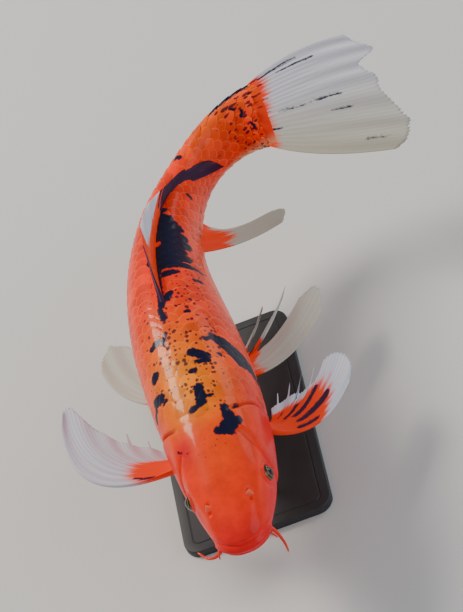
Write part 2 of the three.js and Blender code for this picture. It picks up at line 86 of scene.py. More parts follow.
def colour(code: str) -> tuple[float, float, float, float]:
    """Turns an sRGB hex code into a linear colour.

    Args:
        code: Six hex digits after a hash sign.

    Returns:
        Linear red, green and blue with an alpha of 1.
    """
    parts = [int(code[i : i + 2], 16) / 255 for i in (1, 3, 5)]
    linear = [p / 12.92 if p <= 0.04045 else ((p + 0.055) / 1.055) ** 2.4 for p in parts]
    return (*linear, 1.0)


class Look:
    """A material that is being made, with one method that adds nodes of any kind."""

    def __init__(self, name: str) -> None:
        """Starts a material that holds only its shader.

        Args:
            name: Name of the finish.
        """
        self.material = bpy.data.materials.new(name)
        self.material.use_nodes = True
        self.tree = self.material.node_tree

    def add(
        self,
        kind: str,
        inputs: Mapping[str | int, Input] | None = None,
        read: str | int = 0,
        stops: Sequence[tuple[float, str]] = (),
        **settings: object,
    ) -> Socket:
        """Adds a shader node with its settings and links.

        Args:
            kind: Blender's name of the node type, without ShaderNode.
            inputs: A value, or a socket to link, for each named or numbered input.
            read: Name or number of the output that is wanted.
            stops: Places and hex codes of a colour ramp.
            settings: Properties of the node.

        Returns:
            The wanted output.
        """
        node = self.tree.nodes.new(f"ShaderNode{kind}")
        for name, value in settings.items():
            setattr(node, name, value)
        self._set_inputs(node, inputs or {})
        for index, (place, code) in enumerate(stops):
            elements = node.color_ramp.elements
            stop = elements[index] if index < 2 else elements.new(place)
            stop.position = place
            stop.color = colour(code)
        return node.outputs[read]

    def done(self, inputs: Mapping[str | int, Input]) -> bpy.types.Material:
        """Sets or links the shader's own inputs, and returns the material."""
        self._set_inputs(self.tree.nodes["Principled BSDF"], inputs)
        return self.material

    def _set_inputs(self, node: bpy.types.Node, inputs: Mapping[str | int, Input]) -> None:
        """Sets or links inputs of a node.

        Args:
            node: The node.
            inputs: A value, or a socket to link, for each named or numbered input.
        """
        for name, value in inputs.items():
            if isinstance(value, Socket):
                self.tree.links.new(value, node.inputs[name])
            else:
                node.inputs[name].default_value = value


def per_metre(size_mm: float) -> float:
    """Cells per metre of a pattern whose grain has a size in millimetres."""
    return 1 / (size_mm * MM)


def smoothstep(low: float, high: float, value: Array) -> Array:
    """Eases from 0 at `low` to 1 at `high`."""
    t = np.clip((np.asarray(value, float) - low) / (high - low), 0, 1)
    return t * t * (3 - 2 * t)


def bell(value: Array, width: float) -> Array:
    """A bump of height 1 at 0, which has sunk to about a third at `width`."""
    return np.exp(-((np.asarray(value) / width) ** 2))


def make_piece(
    name: str,
    material: bpy.types.Material,
    mesh: Mesh,
    values: Mapping[str, Array] | None = None,
    places: Array | None = None,
    crease: float | None = None,
) -> bpy.types.Object:
    """Makes a smooth Blender object that rides on the model's one body.

    Args:
        name: Name of the object.
        material: Its finish.
        mesh: Its vertices in metres, and its faces.
        values: One number per vertex for each named attribute.
        places: UV place of each vertex.
        crease: Degrees from which an edge between two faces stays sharp, if any does.

    Returns:
        The new object.
    """
    points, quads = mesh
    # Vertices that lie on one another, as at a pole, become one, so that the surface closes there.
    _, kept, joined = np.unique(np.round(points / WELD), axis=0, return_index=True, return_inverse=True)
    faces = [list(dict.fromkeys(quad)) for quad in joined.ravel()[quads].tolist()]
    data = bpy.data.meshes.new(name)
    data.from_pydata(points[kept].tolist(), [], [face for face in faces if len(face) > 2])
    data.polygons.foreach_set("use_smooth", np.ones(len(data.polygons), bool))
    if crease is not None:
        data.set_sharp_from_angle(angle=np.radians(crease))
    for label, numbers in (values or {}).items():
        layer = data.attributes.new(label, "FLOAT", "POINT")
        layer.data.foreach_set("value", np.broadcast_to(numbers, len(points))[kept].astype(np.float32))
    if places is not None:
        corners = np.empty(len(data.loops), np.int32)
        data.loops.foreach_get("vertex_index", corners)
        layer = data.uv_layers.new(name="OFBake")
        layer.data.foreach_set("uv", places[kept][corners].ravel())
    data.materials.append(material)
    data.update()
    piece = bpy.data.objects.new(name, data)
    bpy.context.scene.collection.objects.link(piece)
    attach(piece, BODY)
    log.info("%s: %d faces", name, len(data.polygons))
    return piece


def grid_faces(rows: int, columns: int, closed: bool = False, flip: bool = False) -> Array:
    """Quads between the points of a grid, stored row by row.

    Args:
        rows: Points along.
        columns: Points across.
        closed: Whether the last column meets the first.
        flip: Whether to turn the faces over.

    Returns:
        Four indices per quad.
    """
    r, c = np.meshgrid(np.arange(rows - 1), np.arange(columns if closed else columns - 1), indexing="ij")
    a = r * columns + c
    b = r * columns + (c + 1) % columns
    quads = np.stack([a, b, b + columns, a + columns], -1).reshape(-1, 4)
    return quads[:, ::-1] if flip else quads


def fan(hub: int, rim: Array, flip: bool = False) -> Array:
    """Triangles between a hub and a closed ring of vertices, written as quads that repeat the hub."""
    hubs, after = np.full(len(rim), hub), np.roll(rim, -1)
    return np.stack([hubs, after, rim, hubs] if flip else [hubs, rim, after, hubs], -1)


def join(*meshes: Mesh) -> Mesh:
    """Lays several meshes together as one.

    Args:
        meshes: Vertices and faces of each.

    Returns:
        All vertices, and faces that count through them.
    """
    starts = np.cumsum([0, *(len(points) for points, _ in meshes)])
    return (
        np.concatenate([points for points, _ in meshes]),
        np.concatenate([faces + start for (_, faces), start in zip(meshes, starts)]),
    )


def slab(top: Array, bottom: Array) -> Mesh:
    """Closed plate between two grids of points.

    Args:
        top: Points of one side, (rows, columns, 3).
        bottom: Points of the other side.

    Returns:
        Vertices and quads.
    """
    rows, columns = top.shape[:2]
    count = rows * columns
    index = np.arange(count).reshape(rows, columns)
    rim = np.concatenate([index[0, :], index[1:, -1], index[-1, -2::-1], index[-2:0:-1, 0]])
    after = np.roll(rim, -1)
    walls = np.stack([rim, rim + count, after + count, after], -1)
    faces = np.concatenate(
        [grid_faces(rows, columns), grid_faces(rows, columns, flip=True) + count, walls])
    return np.concatenate([top.reshape(-1, 3), bottom.reshape(-1, 3)]), faces


def normals_of(points: Array) -> Array:
    """Unit normals of a grid of points, (rows, columns, 3).

    Args:
        points: The grid.

    Returns:
        Their normals, in the same order.
    """
    along = np.gradient(points, axis=0)
    across = np.gradient(points, axis=1)
    normal = np.cross(across, along)
    return normal / np.maximum(np.linalg.norm(normal, axis=-1, keepdims=True), 1e-12)


# ---- The bent body --------------------------------------------------------------------------------


def smooth_table(table: Table, place: Array) -> Array:
    """Smooth curve through a table of (place, value) rows, level with their neighbours' slope.

    Args:
        table: Rows in rising order of place.
        place: Where to read the curve.

    Returns:
        The curve's values.
    """
    x, y = np.array(table, float).T
    slope = np.empty_like(y)
    slope[1:-1] = (y[2:] - y[:-2]) / (x[2:] - x[:-2])
    slope[0] = (y[1] - y[0]) / (x[1] - x[0])
    slope[-1] = (y[-1] - y[-2]) / (x[-1] - x[-2])
    at = np.clip(np.asarray(place, float), x[0], x[-1])
    row = np.clip(np.searchsorted(x, at, side="left") - 1, 0, len(x) - 2)
    span = x[row + 1] - x[row]
    t = (at - x[row]) / span
    rise = t * t * (3 - 2 * t)
    lead = span * t * (1 - t) * ((1 - t) * slope[row] - t * slope[row + 1])
    return y[row] + (y[row + 1] - y[row]) * rise + lead


@dataclass(frozen=True)
class KoiForm:
    """The koi's bend and cross sections, the same as in the part's solids."""

    standard_length: float = 500.0
    heading: Table = ((0, 0), (0.2, -3), (0.4, -5), (0.6, 3), (0.8, 39), (1, 110))
    pitch: Table = ((0, -3), (0.5, 0), (1, 19))
    roll: Table = ((0, 0), (0.5, -1), (0.7, -7), (0.85, -6), (1, 44))
    back_rise: Table = (
        (0, 0.02), (0.05, 0.045), (0.1, 0.068), (0.2, 0.101), (0.3, 0.119), (0.43, 0.129),
        (0.55, 0.12), (0.7, 0.089), (0.82, 0.063), (0.92, 0.055), (1, 0.059))
    belly_drop: Table = (
        (0, 0.02), (0.05, 0.042), (0.1, 0.061), (0.2, 0.092), (0.3, 0.111), (0.43, 0.119),
        (0.55, 0.109), (0.7, 0.08), (0.82, 0.056), (0.92, 0.049), (1, 0.055))
    half_width: Table = (
        (0, 0.034), (0.05, 0.052), (0.1, 0.065), (0.2, 0.08), (0.3, 0.087), (0.43, 0.0875),
        (0.55, 0.076), (0.7, 0.052), (0.82, 0.034), (0.92, 0.023), (1, 0.015))
    snout_length: float = 0.035
    snout_power: float = 2.5
    section_power: float = 2.3
    gill_edge: Table = ((0, 0.198), (35, 0.205), (75, 0.238), (110, 0.242), (140, 0.215), (180, 0.16))
    gill_front: Table = ((38, 0.165), (75, 0.14), (110, 0.135), (148, 0.15))
    spine_steps: int = 400
    arc_rows: int = 201
    arc_columns: int = 181

    def axes(self, station: Array) -> tuple[Array, Array, Array]:
        """Directions of the body's own axes.

        Args:
            station: Places along the body.

        Returns:
            Unit vectors back, left and up, one row each per station.
        """
        turn, tilt, roll = (
            np.radians(smooth_table(table, station)) for table in (self.heading, self.pitch, self.roll))
        back = np.stack([np.sin(turn) * np.cos(tilt), np.cos(turn) * np.cos(tilt), np.sin(tilt)], -1)
        level = np.stack([np.cos(turn), -np.sin(turn), np.zeros_like(turn)], -1)
        upright = np.cross(level, back)
        c, s = np.cos(roll)[..., None], np.sin(roll)[..., None]
        return back, level * c + upright * s, upright * c - level * s

    def spine(self, station: Array) -> Array:
        """Places of the body's axis in millimetres, with the snout at the origin.

        Args:
            station: Places along the body.

        Returns:
            Points, (..., 3).
        """
        middles = (np.arange(self.spine_steps) + 0.5) / self.spine_steps
        steps = self.axes(middles)[0] * self.standard_length / self.spine_steps
        knots = np.concatenate([np.zeros((1, 3)), np.cumsum(steps, 0)])
        at = np.clip(np.asarray(station, float), 0, 1) * self.spine_steps
        low = np.minimum(at.astype(int), self.spine_steps - 1)
        return knots[low] + (knots[low + 1] - knots[low]) * (at - low)[..., None]

    def place(self, station: Array, offset: Array) -> Array:
        """Turns lengths along the body's axes into model millimetres from the snout.

        Args:
            station: Places along the body.
            offset: [back, left, up] per station, in millimetres.

        Returns:
            Points, (..., 3).
        """
        station = np.asarray(station, float)
        offset = np.asarray(offset, float)
        back, left, up = self.axes(station)
        back, left, up = back * offset[..., :1], left * offset[..., 1:2], up * offset[..., 2:]
        return self.spine(station) + back + left + up

    def half_sizes(self, station: Array, angle: Array) -> tuple[Array, Array]:
        """Half width and half height of the body in millimetres at a station, above or below its axis.

        Args:
            station: Places along the body.
            angle: Degrees from the ridge.

        Returns:
            Half widths and half heights.
        """
        to_tip = 1 - np.clip(np.asarray(station) / self.snout_length, 0, 1)
        blunt = (1 - to_tip**self.snout_power) ** (1 / self.snout_power) * self.standard_length
        above = np.cos(np.radians(angle)) >= 0
        height = np.where(
            above, smooth_table(self.back_rise, station), smooth_table(self.belly_drop, station))
        return smooth_table(self.half_width, station) * blunt, height * blunt

    def section(self, station: Array, angle: Array, proud: Array = 0.0) -> tuple[Array, Array]:
        """Left and up from the axis, in millimetres, of places on the body's surface.

        Args:
            station: Places along the body.
            angle: Degrees round the section from the ridge of the back.
            proud: Millimetres outside the surface.

        Returns:
            Lengths to the left and up.
        """
        turn = np.radians(angle)
        width, height = self.half_sizes(station, angle)
        left, up = (
            np.sign(f) * np.abs(f) ** (2 / self.section_power) for f in (np.sin(turn), np.cos(turn)))
        return (width + proud) * left, (height + proud) * up

    def surface(self, station: Array, angle: Array, proud: Array = 0.0) -> Array:
        """Places on the body's surface, or `proud` millimetres outside it, from the snout.

        Args:
            station: Places along the body.
            angle: Degrees from the ridge.
            proud: Millimetres outside the surface.

        Returns:
            Points, (..., 3).
        """
        station, angle, proud = np.broadcast_arrays(station, angle, proud)
        to_tip = 1 - np.clip(station / self.snout_length, 0, 1)
        left, up = self.section(station, angle, proud)
        return self.place(station, np.stack([-proud * to_tip**self.snout_power, left, up], -1))

    def arcs(self) -> tuple[Array, Array, Array]:
        """Length along the skin from the ridge down to each angle.

        Returns:
            Stations, angles from 0 to 180, and the lengths in millimetres, (stations, angles).
        """
        stations = np.linspace(0.02, 1, self.arc_rows)
        angles = np.linspace(0, 180, self.arc_columns)
        s, a = np.meshgrid(stations, angles, indexing="ij")
        left, up = self.section(s, a)
        steps = np.hypot(np.diff(left, axis=1), np.diff(up, axis=1))
        return stations, angles, np.concatenate([np.zeros((len(stations), 1)), np.cumsum(steps, 1)], 1)


class Unrolled:
    """The skin laid out flat: millimetres of arc from the ridge, to the left or right, per station."""

    def __init__(self, form: KoiForm) -> None:
        """Measures the sections of the form."""
        self.stations, self.angles, self.lengths = form.arcs()

    def half_girth(self, station: Array) -> Array:
        """Arc from the ridge of the back to the keel."""
        return np.interp(station, self.stations, self.lengths[:, -1])

    def _between(self, station: Array, read: Callable[[Array, int], float]) -> Array:
        """Reads one row of arcs below and one above each station, and mixes them.

        Args:
            station: Places along the body.
            read: Reads a row of arcs at some of them.

        Returns:
            The mixed values.
        """
        at = np.clip(np.interp(station, self.stations, np.arange(len(self.stations))), 0, None)
        low = np.minimum(at.astype(int), len(self.stations) - 2)
        mix = at - low
        result = np.empty(station.shape)
        for row in np.unique(low):
            here = low == row
            result[here] = (1 - mix[here]) * read(here, row) + mix[here] * read(here, row + 1)
        return result

    def arc(self, station: Array, angle: Array) -> Array:
        """Arc from the ridge to an angle between -180 and 180, with the angle's sign.

        Args:
            station: Places along the body.
            angle: Degrees from the ridge.

        Returns:
            Arcs in millimetres.
        """
        station, angle = np.broadcast_arrays(np.asarray(station, float), np.asarray(angle, float))
        size = self._between(
            station, lambda here, row: np.interp(np.abs(angle[here]), self.angles, self.lengths[row]))
        return np.sign(angle) * size

    def angle(self, station: Array, arc: Array) -> Array:
        """Angle at an arc from the ridge, which may run on past the keel.

        Args:
            station: Places along the body.
            arc: Millimetres from the ridge.

        Returns:
            Degrees from the ridge.
        """
        station, arc = np.broadcast_arrays(np.asarray(station, float), np.asarray(arc, float))
        girth = self.half_girth(station)
        size = np.abs(arc)
        folded = np.where(size > girth, 2 * girth - size, size)
        angle = self._between(
            station, lambda here, row: np.interp(folded[here], self.lengths[row], self.angles))
        return np.sign(arc) * np.where(size > girth, 360 - angle, angle)


@dataclass(frozen=True)
class EyeSeat:
    """Where an eye sits in the head, and its size in millimetres."""

    station: float = 0.114
    angle: float = 78
    radius: float = 7.5
    sunk: float = 4.2


FORM = KoiForm()
UNROLLED = Unrolled(FORM)
EYE_SEAT = EyeSeat()
NOSTRIL = (0.062, 36.0)  # station and angle


def row_origin() -> Array:
    """Millimetres from the snout's own origin to the frame's, read from the left eye's solid.

    Returns:
        Back, left and up in the frame, in millimetres.
    """
    low, high = (np.array(corner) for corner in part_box("eye_left"))
    centre = (low + high) / 2 / MM
    return centre - FORM.surface(EYE_SEAT.station, EYE_SEAT.angle, -EYE_SEAT.sunk)


ORIGIN = row_origin()


def metres(points: Array) -> Array:
    """Turns millimetres from the snout into the frame's metres."""
    return (points + ORIGIN) * MM


# ---- Markings -------------------------------------------------------------------------------------


@dataclass(frozen=True)
class Blot:
    """A stroke of black on the body between two places, with its half width in mm at either end."""

    start: tuple[float, float]
    end: tuple[float, float]
    radius: float
    end_radius: float | None = None


BLACK_BLOTS: tuple[Blot, ...] = (
    # Head, a faint smudge of short strokes.
    Blot((0.173, -41), (0.166, -37), 0.7, 0.3),
    Blot((0.16, -30), (0.155, -25), 0.3, 0.1),
    # Nape, a broad crown spot with a tail to either side.
    Blot((0.169, 11), (0.166, 28), 3.2),
    Blot((0.174, 24), (0.187, 40), 6.5, 3),
    Blot((0.182, 30), (0.207, 27), 6, 4),
    Blot((0.212, 40), (0.217, 46), 1.5),
    # Shoulders, from the middle of the back to either flank.
    Blot((0.216, -6), (0.222, 3), 2.6),
    Blot((0.226, 5), (0.252, 6), 4.4),
    Blot((0.231, 8), (0.232, 17), 1.6),
    Blot((0.286, 4), (0.286, 8), 2.6),
    Blot((0.269, -60), (0.276, -47), 3.4),
    Blot((0.284, -46), (0.275, -34), 4.6),
    Blot((0.262, -33), (0.263, -28), 2),
    Blot((0.317, -35), (0.319, -31), 4.2),
    Blot((0.302, 12), (0.3, 24), 2.2),
    Blot((0.322, 11), (0.309, 23), 4.6),
    Blot((0.348, 28), (0.352, 38), 2.6),
    Blot((0.352, 38), (0.332, 62), 5, 11),
    Blot((0.332, 62), (0.336, 92), 11, 7),
    Blot((0.316, 37), (0.316, 40), 1.6),
    # Middle of the back, up to the dorsal fin.
    Blot((0.368, -24), (0.372, -15), 3.2),
    Blot((0.363, -10), (0.38, -5), 2.2),
    Blot((0.411, -2), (0.436, -3), 3.2, 2.4),
    Blot((0.44, -1), (0.56, 4), 3.2, 2.4),
    Blot((0.413, 18), (0.413, 21), 2.2),
    Blot((0.455, 4), (0.464, 8), 3.6),
    Blot((0.5, 41), (0.502, 50), 2.2),
    # The saddle beside the dorsal fin.
    Blot((0.517, 9), (0.519, 23), 4.2, 3),
    Blot((0.541, 4), (0.538, 58), 5.5, 2.5),
    Blot((0.56, 3), (0.563, 40), 9.5, 6),
    Blot((0.583, 5), (0.584, 33), 9, 7),
    Blot((0.606, 19), (0.608, 44), 8, 7),
    Blot((0.632, -2), (0.632, 40), 10, 7),
    Blot((0.656, -4), (0.658, 34), 10, 6),
    Blot((0.671, 0), (0.672, 26), 7, 4),
    Blot((0.684, -3), (0.685, 17), 8, 4),
    Blot((0.702, 0), (0.706, 8), 5, 3),
    # Tail stem.
    Blot((0.768, 44), (0.766, 58), 1.8),
    Blot((0.833, -22), (0.836, -5), 2.2),
    Blot((0.93, 2), (0.992, 18), 2.6, 2),
    Blot((0.96, 48), (0.966, 56), 1.4),
    Blot((0.975, 68), (0.972, 76), 1.6),
    Blot((0.982, 92), (0.985, 104), 1.5),
)


def stroke_depth(across: Array, along: Array, blot: Blot, reach: float) -> Array:
    """How far inside a stroke places on a flat sheet lie.

    Args:
        across: First coordinate of the places and of the stroke's ends, in millimetres.
        along: Second coordinate.
        blot: The stroke, with its ends in the same coordinates.
        reach: Least value returned, so that far places keep a level value.

    Returns:
        Millimetres inside the edge, negative outside it.
    """
    start, end = np.array(blot.start), np.array(blot.end)
    line = end - start
    t = ((across - start[0]) * line[0] + (along - start[1]) * line[1]) / max(line @ line, 1e-9)
    t = np.clip(t, 0, 1)
    gap = np.hypot(across - start[0] - t * line[0], along - start[1] - t * line[1])
    last = blot.radius if blot.end_radius is None else blot.end_radius
    return np.maximum(blot.radius + (last - blot.radius) * t - gap, reach)


@dataclass(frozen=True)
class SoftSpot:
    """Something on the body that is strongest at one place and fades out along and round it."""

    strength: float
    station: float
    length: float
    angle: float
    width: float

    def at(self, station: Array, angle: Array) -> Array:
        """Its strength at places on the body."""
        along = bell(station - self.station, self.length)
        return self.strength * along * bell(angle - self.angle, self.width)


@dataclass(frozen=True)
class Markings:
    """Colours of a red-orange koi with black spots, as weights at places on its body."""

    blots: tuple[Blot, ...] = BLACK_BLOTS
    reach: float = -6.0
    bruise: SoftSpot = SoftSpot(0.9, 0.166, 0.022, -32, 14)
    shoulder_gold: SoftSpot = SoftSpot(1.0, 0.27, 0.11, -6, 42)
    crown_gold: SoftSpot = SoftSpot(0.16, 0.15, 0.06, 5, 36)
    back_freckles: SoftSpot = SoftSpot(0.92, 0.34, 0.16, 4, 56)
    crown_freckles: SoftSpot = SoftSpot(0.4, 0.15, 0.03, 0, 40)
    flank_freckles: SoftSpot = SoftSpot(0.5, 0.6, 0.2, 50, 40)

    def black(self, station: Array, angle: Array) -> Array:
        """Millimetres inside the nearest black spot.

        Args:
            station: Places along the body.
            angle: Degrees from the ridge.

        Returns:
            Depths, negative outside.
        """
        arc = UNROLLED.arc(station, angle)
        along = station * FORM.standard_length
        depth = np.full(arc.shape, self.reach)
        for blot in self.blots:
            ends = [
                (float(UNROLLED.arc(s, a)), s * FORM.standard_length) for s, a in (blot.start, blot.end)]
            flat = Blot(ends[0], ends[1], blot.radius, blot.end_radius)
            depth = np.maximum(depth, stroke_depth(arc, along, flat, self.reach))
        return depth

    def weights(self, station: Array, angle: Array) -> dict[str, Array]:
        """Weights of each colour.

        Args:
            station: Places along the body.
            angle: Degrees from the ridge, from -180 to 180.

        Returns:
            Named numbers per place, for the skin's and the scales' finish.
        """
        side = np.abs(angle)
        snout = 1 - smoothstep(0.0, 0.06, station)
        cheek = smoothstep(52, 95, side) * (1 - smoothstep(0.2, 0.34, station))
        behind_gills = (station - smooth_table(FORM.gill_edge, side)) * FORM.standard_length
        # Where the gill slit lies: the skin there is darkened, as painted shade.
        slit = bell(behind_gills - 1.6, 1.5) * smoothstep(26, 46, side)
        tail_root = smoothstep(0.8, 0.93, station) * bell(angle, 60)
        behind_head = smoothstep(0.16, 0.22, station)
        return {
            "black": self.black(station, angle),
            "along": station * FORM.standard_length,
            "around": UNROLLED.arc(station, angle),
            "gold": self.shoulder_gold.at(station, angle) * behind_head
            + 0.4 * tail_root
            + self.crown_gold.at(station, angle),
            "crimson": np.maximum(np.maximum(0.8 * snout, cheek), self.bruise.at(station, angle)),
            "belly": smoothstep(118, 160, side) * smoothstep(0.03, 0.12, station),
            "freckle": self.back_freckles.at(station, angle) * smoothstep(0.185, 0.215, station)
            + self.crown_freckles.at(station, angle)
            + self.flank_freckles.at(station, angle),
            "dash": smoothstep(0.9, 0.96, station) * (0.75 + 0.35 * bell(angle - 50, 50)),
            # Painted shade: the skin in the gill slit is darkened.
            "tone": -4.5 * slit,
            "rim": np.zeros(station.shape),
        }

    def plain(self, count: int, **changes: Array) -> dict[str, Array]:
        """Weights of a part with no markings of its own.

        Args:
            count: How many vertices it has.
            changes: Weights that aren't nothing.

        Returns:
            Named numbers per vertex.
        """
        names = ("gold", "crimson", "belly", "freckle", "dash", "along", "around", "tone", "rim")
        blank = {name: np.zeros(count) for name in names}
        return {"black": np.full(count, self.reach), **blank, **changes}


MARKINGS = Markings()


# ---- Finishes -------------------------------------------------------------------------------------


@dataclass(frozen=True)
class WetSkinFinish:
    """Living fish skin: pigment under a clear slime coat, so colours are deep and highlights sharp."""

    name: str = "koi_wet_skin"
    orange: str = "#FF3000"
    gold: str = "#FF8A00"
    crimson: str = "#F01822"
    belly: str = "#F8A878"
    black: str = "#0C0D30"
    # Pale gold of a scale's free edge, partly its own colour and partly a painted sheen.
    pale_rim_and_sheen: str = "#FF9A48"
    rim_and_sheen_strength: float = 0.3
    mottle_mm: float = 14.0
    cell_mm: float = 3.2
    freckle_mm: tuple[float, float] = (4.6, 4.2)  # size of a freckle's place along and around the body
    dash_mm: tuple[float, float] = (7.0, 2.8)  # the same for the long flecks at the root of the tail
    ragged_mm: float = 1.3
    pore_mm: float = 1.1
    scaled: bool = False

    def build(self) -> bpy.types.Material:
        """Makes the material. Both skin and scales are painted by the same named weights.

        Returns:
            The material.
        """
        look = Look(self.name)
        place = look.add("TexCoord", read="Object")
        weight = {
            name: look.add("Attribute", read="Fac", attribute_name=name)
            for name in (
                "black", "gold", "crimson", "belly", "freckle", "dash", "along", "around", "tone", "rim")
        }

        # Pigment lies in clouds: broad patches are paler or deeper, as over the muscles.
        clouds = look.add("TexNoise", {
            "Vector": place, "Scale": per_metre(self.mottle_mm), "Detail": 4.0, "Roughness": 0.6})
        shade = colour(self.orange)
        for name, code in (("gold", self.gold), ("crimson", self.crimson), ("belly", self.belly)):
            shade = look.add("Mix", {0: weight[name], 6: shade, 7: colour(code)}, 2, data_type="RGBA")
        deeper = look.add("MapRange", {
            "Value": clouds, "From Min": 0.3, "From Max": 0.72, "To Min": 0.82, "To Max": 1.1})
        # Each scale's random lightness, and painted shade in the gill slit and in the side line's pores,
        # make the colour lighter or darker here.
        tone = look.add("Math", {0: weight["tone"], 1: 0.1, 2: deeper}, operation="MULTIPLY_ADD")
        shade = look.add("VectorMath", {0: shade, "Scale": tone}, operation="SCALE")
        if self.scaled:
            # The free edge of a scale is painted paler and golder: partly its own thin clear edge, partly
            # a painted sheen.
            pale = look.add("Math", {0: weight["rim"], 1: self.rim_and_sheen_strength}, operation="MULTIPLY")
            shade = look.add("Mix", {0: pale, 6: shade, 7: colour(self.pale_rim_and_sheen)}, 2, data_type="RGBA")

        # Black spots have edges broken up by single pigment cells, and small freckles stand round them.
        ragged = look.add("TexNoise", {
            "Vector": place, "Scale": per_metre(self.cell_mm), "Detail": 3.0, "Roughness": 0.65})
        offset = look.add(
            "Math", {0: ragged, 1: 4 * self.ragged_mm, 2: -2 * self.ragged_mm}, operation="MULTIPLY_ADD")
        depth = look.add("Math", {0: weight["black"], 1: offset}, operation="ADD")
        ink = look.add(
            "MapRange", {"Value": depth, "From Min": -0.7, "From Max": 0.6},
            interpolation_type="SMOOTHSTEP")
        lie = look.add("CombineXYZ", {"X": weight["along"], "Y": weight["around"]})
        for name, sizes in (("freckle", self.freckle_mm), ("dash", self.dash_mm)):
            flecks = self._flecks(look, lie, weight[name], sizes, ragged)
            ink = look.add("Math", {0: ink, 1: flecks}, operation="MAXIMUM")

        # Pores and folds under the slime break up the gloss, and the slime adds a sharp one of its own.
        pores = look.add("TexNoise", {"Vector": place, "Scale": per_metre(self.pore_mm), "Detail": 3.0})
        return look.done({
            "Base Color": look.add("Mix", {0: ink, 6: shade, 7: colour(self.black)}, 2, data_type="RGBA"),
            "Roughness": look.add("MapRange", {"Value": pores, "To Min": 0.32, "To Max": 0.5}),
            "Normal": look.add("Bump", {"Strength": 0.2, "Distance": 0.12 * MM, "Height": pores}),
            "IOR": 1.4,
            "Specular IOR Level": 0.15,
            "Coat Weight": 0.26,
            "Coat Roughness": 0.1,
        })

    @staticmethod
    def _flecks(
        look: Look, lie: Socket, weight: Socket, sizes: tuple[float, float], ragged: Socket
    ) -> Socket:
        """Draws at most one dark fleck in each cell of the skin, larger where the weight is higher.

        Args:
            look: The material.
            lie: Place along and around the body, in millimetres.
            weight: How many and how large the flecks are.
            sizes: Size of a cell along and around.
            ragged: Noise that breaks up the flecks' edges.

        Returns:
            Darkness of the flecks.
        """
        cell = (1 / sizes[0], 1 / sizes[1], 0.0)
        place = look.add("VectorMath", {0: lie, 1: cell}, operation="MULTIPLY")
        cells = look.add(
            "TexVoronoi", {"Vector": place, "Scale": 1.0}, "Color", feature="F1", voronoi_dimensions="2D")
        chance = look.add("SeparateColor", {"Color": cells}, "Red")
        uneven = look.add("Math", {0: chance, 1: 1.7}, operation="POWER")
        size = look.add("Math", {0: weight, 1: uneven}, operation="MULTIPLY")
        edge = look.add("Math", {0: ragged, 1: 0.7, 2: -0.49}, operation="MULTIPLY_ADD")
        radius = look.add("Math", {0: size, 1: 0.74, 2: edge}, operation="MULTIPLY_ADD")
        inside = look.add("Math", {0: radius, 1: cells.node.outputs["Distance"]}, operation="SUBTRACT")
        return look.add(
            "MapRange", {"Value": inside, "From Min": -0.05, "From Max": 0.05, "To Max": 0.85},
            interpolation_type="SMOOTHSTEP")


@dataclass(frozen=True)
class FinFinish:
    """Fin skin: a thin pale web over bony rays, orange and opaque where flesh runs out into it."""

    name: str = "koi_fin_skin"
    web: str = "#C6CAD8"
    ray: str = "#E6E8F0"
    flesh: str = "#FF420A"
    black: str = "#15143A"
    olive: str = "#B9BAA0"
    ragged_mm: float = 3.4
    streak_stretch: Triple = (1.1, 2.4, 1.0)  # cells run along the rays
    streak_scale: float = 1.6  # with the stretch, 3 by 30 mm on a pectoral fin
    joints: float = 180.0  # radians from root to margin, so that a joint is 4 mm long there

    def build(self) -> bpy.types.Material:
        """Makes the material, painted by the fin's own named weights.

        Returns:
            The material.
        """
        look = Look(self.name)
        weight = {
            name: look.add("Attribute", read="Fac", attribute_name=name)
            for name in ("ray", "outward", "flesh", "black", "rib", "olive", "feather")
        }
        lie = look.add("CombineXYZ", {"X": weight["ray"], "Y": weight["outward"]})
        stretched = look.add("VectorMath", {0: lie, 1: self.streak_stretch}, operation="MULTIPLY")
        streaks = look.add("TexNoise", {
            "Vector": stretched, "Scale": self.streak_scale, "Detail": 4.0, "Roughness": 0.6})
        streaks = look.add("Math", {0: streaks, 1: 2.0, 2: -1.0}, operation="MULTIPLY_ADD")

        # Rays are bone-white lines, and the web between them is a thin grey film. The flesh colour ends
        # in points that follow the rays.
        reach = look.add(
            "Math", {0: streaks, 1: weight["feather"], 2: weight["flesh"]}, operation="MULTIPLY_ADD")
        flesh = look.add(
            "MapRange", {"Value": reach, "From Min": -0.06, "From Max": 0.06},
            interpolation_type="SMOOTHSTEP")

        # The black has an edge that single pigment cells break up.
        ragged = look.add("TexNoise", {
            "Vector": look.add("TexCoord", read="Object"), "Scale": per_metre(self.ragged_mm),
            "Detail": 3.0, "Roughness": 0.65})
        edge = look.add(
            "Math", {0: ragged, 1: self.ragged_mm, 2: -self.ragged_mm / 2}, operation="MULTIPLY_ADD")
        broken = look.add("Math", {0: streaks, 1: 4.0, 2: edge}, operation="MULTIPLY_ADD")
        depth = look.add("Math", {0: broken, 1: weight["black"]}, operation="ADD")
        ink = look.add(
            "MapRange", {"Value": depth, "From Min": -0.8, "From Max": 1.2, "To Max": 0.97},
            interpolation_type="SMOOTHSTEP")
        shade = colour(self.web)
        for factor, code in (
            (weight["rib"], self.ray), (weight["olive"], self.olive),
            (flesh, self.flesh), (ink, self.black),
        ):
            shade = look.add("Mix", {0: factor, 6: shade, 7: colour(code)}, 2, data_type="RGBA")

        # Each ray is a chain of short segments, drawn coarser than life so that they show. The whole
        # fin is satin with a faint wet sheen, so that it looks dry and thin beside the glossy body.
        turn = look.add("Math", {0: weight["outward"], 1: self.joints}, operation="MULTIPLY")
        wave = look.add("Math", {0: turn}, operation="SINE")
        chain = look.add("Math", {0: wave, 1: weight["rib"]}, operation="MULTIPLY")
        return look.done({
            "Base Color": shade,
            "Roughness": 0.42,
            "Normal": look.add("Bump", {"Strength": 0.25, "Distance": 0.2 * MM, "Height": chain}),
            "IOR": 1.4,
            "Specular IOR Level": 0.25,
            "Coat Weight": 0.12,
            "Coat Roughness": 0.15,
        })


